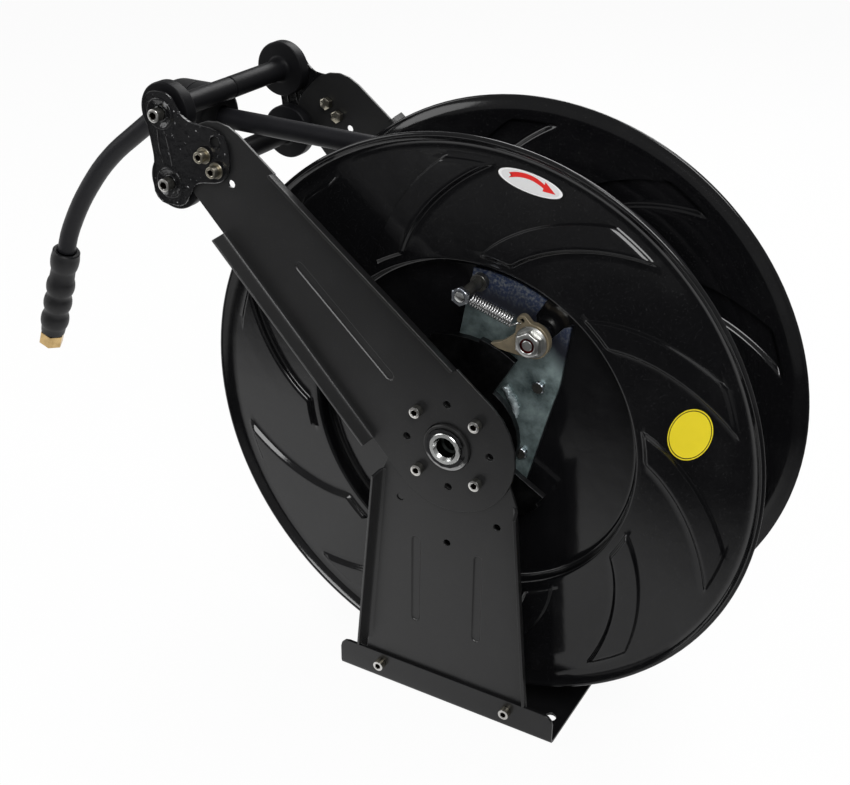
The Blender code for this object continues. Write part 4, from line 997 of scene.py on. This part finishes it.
def makeCarrierBolts():
    back, seat, mark = latch["back"], latch["seat"], 0.00501
    profile = [(0.0, back), (0.0026, back), (0.0026, seat), (mark, seat), (mark, 0.0490),
               (0.0045, 0.0495), (0.0, 0.0496)]
    for label in ("upper", "lower"):
        node = "carrier_bolt_" + label
        bolt = lathed(node, profile, spotOf(node), toFront, headSteel,
                      hexes=[(mark, 0.00477)], label=label + "-carrier-bolt-fine")
        # painted highlight: the bolt end's hex sides and chamfer in bright zinc against the
        # dark steel face
        tint(bolt, zincPlate, spotOf(node), toFront, 0.0040, 0.0052, 0.0464)


def makeSpringPost():
    centre, wide, back, seat = sizesOf(latch, "post postWide back seat")
    profile = [(0.0, back), (wide, back), (wide, seat), (0.0068, seat), (0.0072, 0.0465),
               (0.0072, 0.0516), (0.0068, 0.0520), (wide, 0.0521), (wide, 0.0822),
               (0.0042, 0.0832), (0.0036, 0.0835), (0.0, 0.0835)]
    post = lathed("spring_post", profile, centre, toFront, headSteel)
    tint(post, nickel, centre, toFront, -1.0, 0.0044, 0.0820)
    bore, mark = wide + 0.00015, 0.00712
    nut = [(bore, 0.0784), (0.0066, 0.0784), (mark, 0.0789), (mark, 0.0824),
           (0.0066, 0.0829), (bore, 0.0829)]
    lathed("spring_post_nut", nut, centre, toFront, zincPlate, closed=True,
           hexes=[(mark, 0.00676)])


def makeSpring():  # a hook round the post, the coils, and an end through the pawl's ear
    (px, _, pz), (tx, _, tz) = latch["post"], latch["tab"]
    start = Vector((px, -latch["farPlane"], pz))
    end = Vector((tx, -latch["nearPlane"], tz))
    way = (end - start).normalized()
    across = Vector(toRear).cross(way).normalized()
    depth = way.cross(across)
    wire, coil, curls, perCurl = latch["wire"], latch["coil"], latch["curls"], 18
    near, room = latch["startRoom"], latch["endRoom"]
    hook = latch["postWide"] + wire + 0.0002
    flat = (way - Vector((0.0, way.y, 0.0))).normalized()
    points = []
    for k in range(17):
        turn = math.radians(250.0 - 215.0 * k / 16.0)
        points.append(start + flat * hook * math.cos(turn) + across * hook * math.sin(turn))
    pitch = ((end - start).length - near - room) / curls
    points.append(start + way * (near - 2.0 * wire) + across * coil)
    for k in range(1, curls * perCurl + 1):
        turn = 2.0 * math.pi * k / perCurl
        spot = start + way * (near + pitch * k / perCurl)
        points.append(spot + across * coil * math.cos(turn) + depth * coil * math.sin(turn))
    points.append(end - way * 0.6 * room + across * 0.5 * coil)
    inward = Vector(toRear)
    points.append(end - way * 0.25 * room + inward * 0.0004)
    points += [end + inward * part for part in (0.0018, 0.0060, 0.0140)]
    spring = tube("pawl-spring-fine", points, wire, 10)
    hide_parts("pawl_spring")
    spring.data.materials.clear()
    spring.data.materials.append(springWire)
    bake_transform(spring)


def makeWeld():
    line = [(x, -latch["weldPlane"], z) for x, z in latch["weld"]]
    bead = tube("carrier-weld", route(line, 0.0010), latch["weldWide"], 16)
    for vert in bead.data.vertices:
        ripple = math.sin(vert.co.z * 2600.0) * 0.0006 + math.sin(vert.co.x * 5200.0) * 0.0004
        vert.co.x += ripple
        vert.co.y -= abs(ripple) * 0.8
    smooth(bead, 60.0)
    finishOf(bead, weldZinc, "drum")


makePawlBolt()
makeCarrierBolts()
makeSpringPost()
makeSpring()
makeWeld()
print("stage: pawl gear made")

inlet = {"bore": 0.0088, "outer": 0.014, "front": 0.0960, "deep": 0.0795, "seat": 0.0760,
         "rim": 0.0206}


def makeInlet():
    front, bore, outer, deep, seat, rim = sizesOf(inlet, "front bore outer deep seat rim")
    profile = [(0.0, deep), (bore - 0.0020, deep), (bore - 0.0020, deep + 0.004),
               (bore, deep + 0.005), (bore, front - 0.0028), (bore + 0.0006, front - 0.0020),
               (bore + 0.0018, front), (outer - 0.0006, front), (outer, front - 0.0006),
               (outer, seat), (0.0, seat)]
    fitting = lathed("inlet_fitting", profile, axle, toFront, nickel, 64)
    # painted shade on the bore's deep wall and floor, inside the nickel fitting
    tint(fitting, paintedBoreShade, axle, toFront, -1.0, bore + 0.0001, 0.0, front - 0.0045)
    collar = [(0.0143, seat), (0.0143, 0.0926), (0.0172, 0.0926), (0.0176, 0.0931),
              (0.0178, 0.0934), (0.0198, 0.0934), (0.0204, 0.0930), (rim, 0.0923),
              (rim, seat)]
    lathed("inlet_collar", collar, axle, toFront, collarSteel, 64, closed=True)
    cap = [(0.0, 0.0915), (0.0132, 0.0915), (0.0146, 0.0918), (0.0154, 0.0932),
           (0.0160, 0.0935), (0.0198, 0.0935), (0.0204, 0.0932), (rim, 0.0925),
           (rim, seat), (0.0, seat)]
    lathed("axle_end_cap", cap, axle, toRear, darkSteel, 64)


# collar steel, lighter and more metallic below the axle and dark above, with a noisy boundary
def collarLighterBelow():
    made = Finish("collar-steel", (0.03, 0.03, 0.03), 0.35, 0.6)
    height = made.along(2)
    cloud = made.noise(260.0, 4.0, 0.7)
    low = made.ramp(0.262 - height + (cloud - 0.5) * 0.012, 0.0, 0.006)
    made.feed("Metallic", low * 0.6 + 0.4)
    shade = made.mixed(colour(0.03), colour(0.6), low)
    return made.done(shade, cloud * 0.2 + 0.22, cloud, 0.00005)


hubs = {"face": 0.0847, "flange": 0.0797, "radius": 0.048, "neck": 0.032, "seat": 0.026,
        "shoulder": 0.0603, "back": 0.0530, "bore": 0.0183, "recess": 0.0209, "step": 0.0757}


def makeHubs():
    face, flange, radius, seat = sizesOf(hubs, "face flange radius seat")
    back, bore, recess, step = sizesOf(hubs, "back bore recess step")
    for side, word in sides:
        profile = [(recess, face), (radius - 0.0006, face), (radius, face - 0.0006),
                   (radius, flange)]
        if side < 0:
            shoulder = hubs["shoulder"]
            profile += [(hubs["neck"], flange), (hubs["neck"], shoulder), (seat, shoulder)]
        else:
            profile.append((seat, flange))
        profile += [(seat, back), (bore, back), (bore, step), (recess, step)]
        lathed(word + "_hub", profile, axle, (0, side, 0), framePaint, 72, closed=True)


motor = {"near": 0.0428, "far": 0.0740, "wide": 0.120, "seam": 0.124, "bore": 0.0303,
         "well": 0.0340, "wellFloor": 0.0498, "press": 0.0026}
barrel = {"inner": 0.1508, "outer": 0.1536, "half": 0.0545}


def makeDrumCore():
    near, far, wide, seam, bore = sizesOf(motor, "near far wide seam bore")
    well, floor, press = sizesOf(motor, "well wellFloor press")
    corners = [(bore, near), (wide, near), (wide, far - 0.0080), (seam, far - 0.0080),
               (seam, far - 0.0050), (wide - 0.0060, far), (0.0900, far),
               (0.0860, far - press), (0.0620, far - press), (0.0580, far), (well, far),
               (well, floor), (bore, floor)]
    lathed("spring_canister", roundedProfile(corners, 0.0020), axle, toRear, framePaint, 96,
           closed=True)
    inner, outer, half = sizesOf(barrel, "inner outer half")
    profile = [(inner, -half), (outer, -half), (outer, half), (inner, half)]
    lathed("drum_barrel", profile, axle, toRear, discPaint, 96, closed=True)


makeHubs()
makeDrumCore()
collarSteel = collarLighterBelow()
makeInlet()
print("stage: inlet made")

labels = {
    "arrow": {"centre": (0.0460, 0.4903), "half": (0.0290, 0.0084), "tilt": -10.7,
              "bands": (0.0007, 0.0007)},
    "oval": {"centre": (0.1870, 0.3190), "half": (0.0160, 0.0236), "tilt": -20.0,
             "bands": (0.0008, 0.0006)},
    "lift": 0.00016, "skin": 0.00014,
}
arrow = {  # a bent shaft from tail to neck, then the head up to the tip
    "rows": 3, "shaft": 17, "head": 8, "tail": -0.0180, "neck": 0.0111, "tip": 0.0212,
    "crown": 0.0042, "curl": 16.5, "dip": 0.26, "notch": 0.0026, "shift": 0.002,
    "wide": 0.0020, "taper": 0.0005, "barb": 0.0038, "least": 0.00002,
}


def discRise(x, z):
    radius = math.hypot(x, z - axle.z)
    pitch = 360.0 / disc["vanes"]
    angle = math.degrees(math.atan2(z - axle.z, x)) - disc["start"] - vaneTurn(radius)
    phase = (angle + pitch / 2.0) % pitch - pitch / 2.0
    return vaneRise(radius, phase)


def layOn(piece, form, lift):  # the flat label follows the disc and gets a thickness
    turn = math.radians(form["tilt"])
    for vert in piece.data.vertices:
        u, v = vert.co.x, vert.co.z
        x = form["centre"][0] + u * math.cos(turn) - v * math.sin(turn)
        z = form["centre"][1] + u * math.sin(turn) + v * math.cos(turn)
        vert.co = (x, -disc["face"] - discRise(x, z) - lift, z)
    modified(piece, "SOLIDIFY", thickness=labels["skin"], offset=0.0)
    outward(piece)
    smooth(piece, 40.0)


def makeOval(label, form, materials):
    deselectAll()
    bpy.ops.mesh.primitive_circle_add(vertices=72, radius=1.0, fill_type="NGON",
                                      rotation=(math.pi / 2.0, 0.0, 0.0))
    piece = added(label)
    for material in materials:
        piece.data.materials.append(material)
    least = min(form["half"])
    rim, band = (width / least for width in form["bands"])
    mode("EDIT")
    pick()
    for width in [rim, band] + [0.12] * 5:
        bpy.ops.mesh.inset(thickness=width, depth=0.0)
    bpy.ops.mesh.poke()
    mode("OBJECT")
    for face in piece.data.polygons:
        edge = 1.0 - math.hypot(face.center.x, face.center.z)
        face.material_index = 1 if edge < rim else 2 if edge < rim + band else 0
    for vert in piece.data.vertices:
        vert.co.x *= form["half"][0]
        vert.co.z *= form["half"][1]
    layOn(piece, form, labels["lift"])
    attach(piece, "drum")


def makeArrow():
    last = arrow["shaft"] + 1 + arrow["head"]
    deselectAll()
    bpy.ops.mesh.primitive_grid_add(x_subdivisions=last, y_subdivisions=arrow["rows"] - 1,
                                    size=2.0, rotation=(math.pi / 2.0, 0.0, 0.0))
    piece = added("label-arrow")
    tail, neck, tip, curl = sizesOf(arrow, "tail neck tip curl")
    for vert in piece.data.vertices:
        column, row = round((vert.co.x + 1.0) / 2.0 * last), round(vert.co.z)
        if column <= arrow["shaft"]:
            part = column / arrow["shaft"]
            u = tail + (neck - tail) * part
            wide = arrow["wide"] - arrow["taper"] * part
            if column == 0 and row == 0:
                u += arrow["notch"]
        else:
            part = (column - arrow["shaft"] - 1) / arrow["head"]
            u = neck + (tip - neck) * part
            wide = arrow["barb"] * (1.0 - part) + arrow["least"]
        bent = min(u, neck) + arrow["shift"]
        bow = arrow["crown"] - curl * bent ** 2 - arrow["dip"] * max(0.0, u - neck)
        lean = 2.0 * curl * bent if u < neck else arrow["dip"]
        aside = row * wide * 0.5 * max(-0.9, min(0.9, lean)) * 0.6
        vert.co = (u + aside, 0.0, bow + row * wide)
    layOn(piece, labels["arrow"], labels["lift"] * 2.0)
    finishOf(piece, redPaper, "drum")


makeOval("label-arrow-oval", labels["arrow"], (whitePaper, blackPaper, paleEdge))
makeOval("label-plain-oval", labels["oval"], (yellowPaper, yellowPaper, blackPaper))
makeArrow()
print("stage: labels laid on")


def dressRest():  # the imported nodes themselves, by their slots
    slots = {"black_paint": framePaint, "black_steel": darkSteel, "zinc": zincPlate,
             "yellow_zinc": chromate, "spring_steel": springWire, "rubber": hoseRubber,
             "nylon": nylonBlack}
    for name, node in nodes.items():
        made = slots[slotOf[name]]
        for place in node.material_slots:
            place.material = made
        if not node.material_slots:
            node.data.materials.append(made)


dressRest()
print("stage: nodes dressed")


# a pale floor and soft studio light; a lamp is its place, size and power
studio = {
    "world": 0.22, "floorSize": 14.0, "floorDrop": 0.0005, "target": (0.0, 0.0, 0.28),
    "paper": 0.95,       # how much of the floor's white is plain paper, shadow apart
    "tableEdge": (-0.50, 0.2466), "tableSide": 0.42, "tableFar": 0.40,
    "haze": 0.15, "window": (-0.80, -1.52, 0.12),
    "lamps": {"key": ((0.9, -1.3, 1.9), 1.2, 26.0), "fill": ((-1.8, -0.9, 1.2), 1.4, 12.0),
              "rim": ((-0.3, 1.7, 1.8), 1.4, 24.0), "top": ((0.6, 0.5, 2.4), 1.0, 14.0)},
}


def floorFinish():  # white to the camera, a table with a window for the mirror images
    made = Finish("floor-pale", (0.9, 0.9, 0.9), 0.9, Specular_IOR_Level=0.0)
    straight, glossy, clear = (made.node("ShaderNodeLightPath", out=name) for name in (
        "Is Camera Ray", "Is Glossy Ray", "Is Transmission Ray"))
    x, y = made.along(0), made.along(1)
    wave = (made.noise(3.0) - 0.5) * 0.12
    start, lean = studio["tableEdge"]
    near = made.ramp(y - start - (x - 0.08) * lean + wave, 0.0, 0.20)
    side = (made.ramp(x * 3.2 + 0.78, 0.0, 1.0) * -studio["tableSide"]
            + made.ramp(x * 3.0 - 0.45, 0.0, 1.0) * -studio["tableFar"] + 1.0)
    haze = made.ramp(y * -1.0 - 1.0, 0.0, 0.15) * studio["haze"]
    px, py, reach = studio["window"]
    off = ((x - px) * (x - px) + (y - py) * (y - py)) ** 0.5
    window = made.ramp(reach - off, 0.0, 0.09)
    white, dark = (made.node("ShaderNodeEmission", values={"Color": colour(grey)})
                   for grey in (1.0, 0.02))
    mirrored = made.layered(dark, white, (near * side).most(haze).most(window))
    plain = Value(made.tree, made.shader.outputs[0])
    seen = made.layered(plain, mirrored, glossy.most(clear))
    last = made.layered(seen, white, straight * studio["paper"])
    made.tree.links.new(last.socket, made.tree.nodes["Material Output"].inputs["Surface"])
    return made.material


def addStudio():
    deselectAll()
    bpy.ops.mesh.primitive_plane_add(size=studio["floorSize"],
                                     location=(0.0, 0.0, -studio["floorDrop"]))
    floor = bpy.context.object
    floor.name = "floor"
    floor.data.materials.append(floorFinish())
    world = bpy.data.worlds.new("studio")
    bpy.context.scene.world = world
    world.use_nodes = True
    back = world.node_tree.nodes["Background"]
    back.inputs["Color"].default_value = colour(1.0)
    eye = Value(world.node_tree, world.node_tree.nodes.new("ShaderNodeLightPath").outputs[0])
    level = eye * (1.0 - studio["world"]) + studio["world"]
    world.node_tree.links.new(level.socket, back.inputs["Strength"])
    for label, (place, size, power) in studio["lamps"].items():
        data = given(bpy.data.lights.new(label, "AREA"), shape="DISK", size=size,
                     energy=power)
        lamp = bpy.data.objects.new(label, data)
        lamp.location = place
        way = Vector(studio["target"]) - Vector(place)
        lamp.rotation_euler = way.to_track_quat("-Z", "Y").to_euler()
        bpy.context.scene.collection.objects.link(lamp)


addStudio()
bpy.context.scene.view_settings.view_transform = "Standard"
print("stage: studio ready")
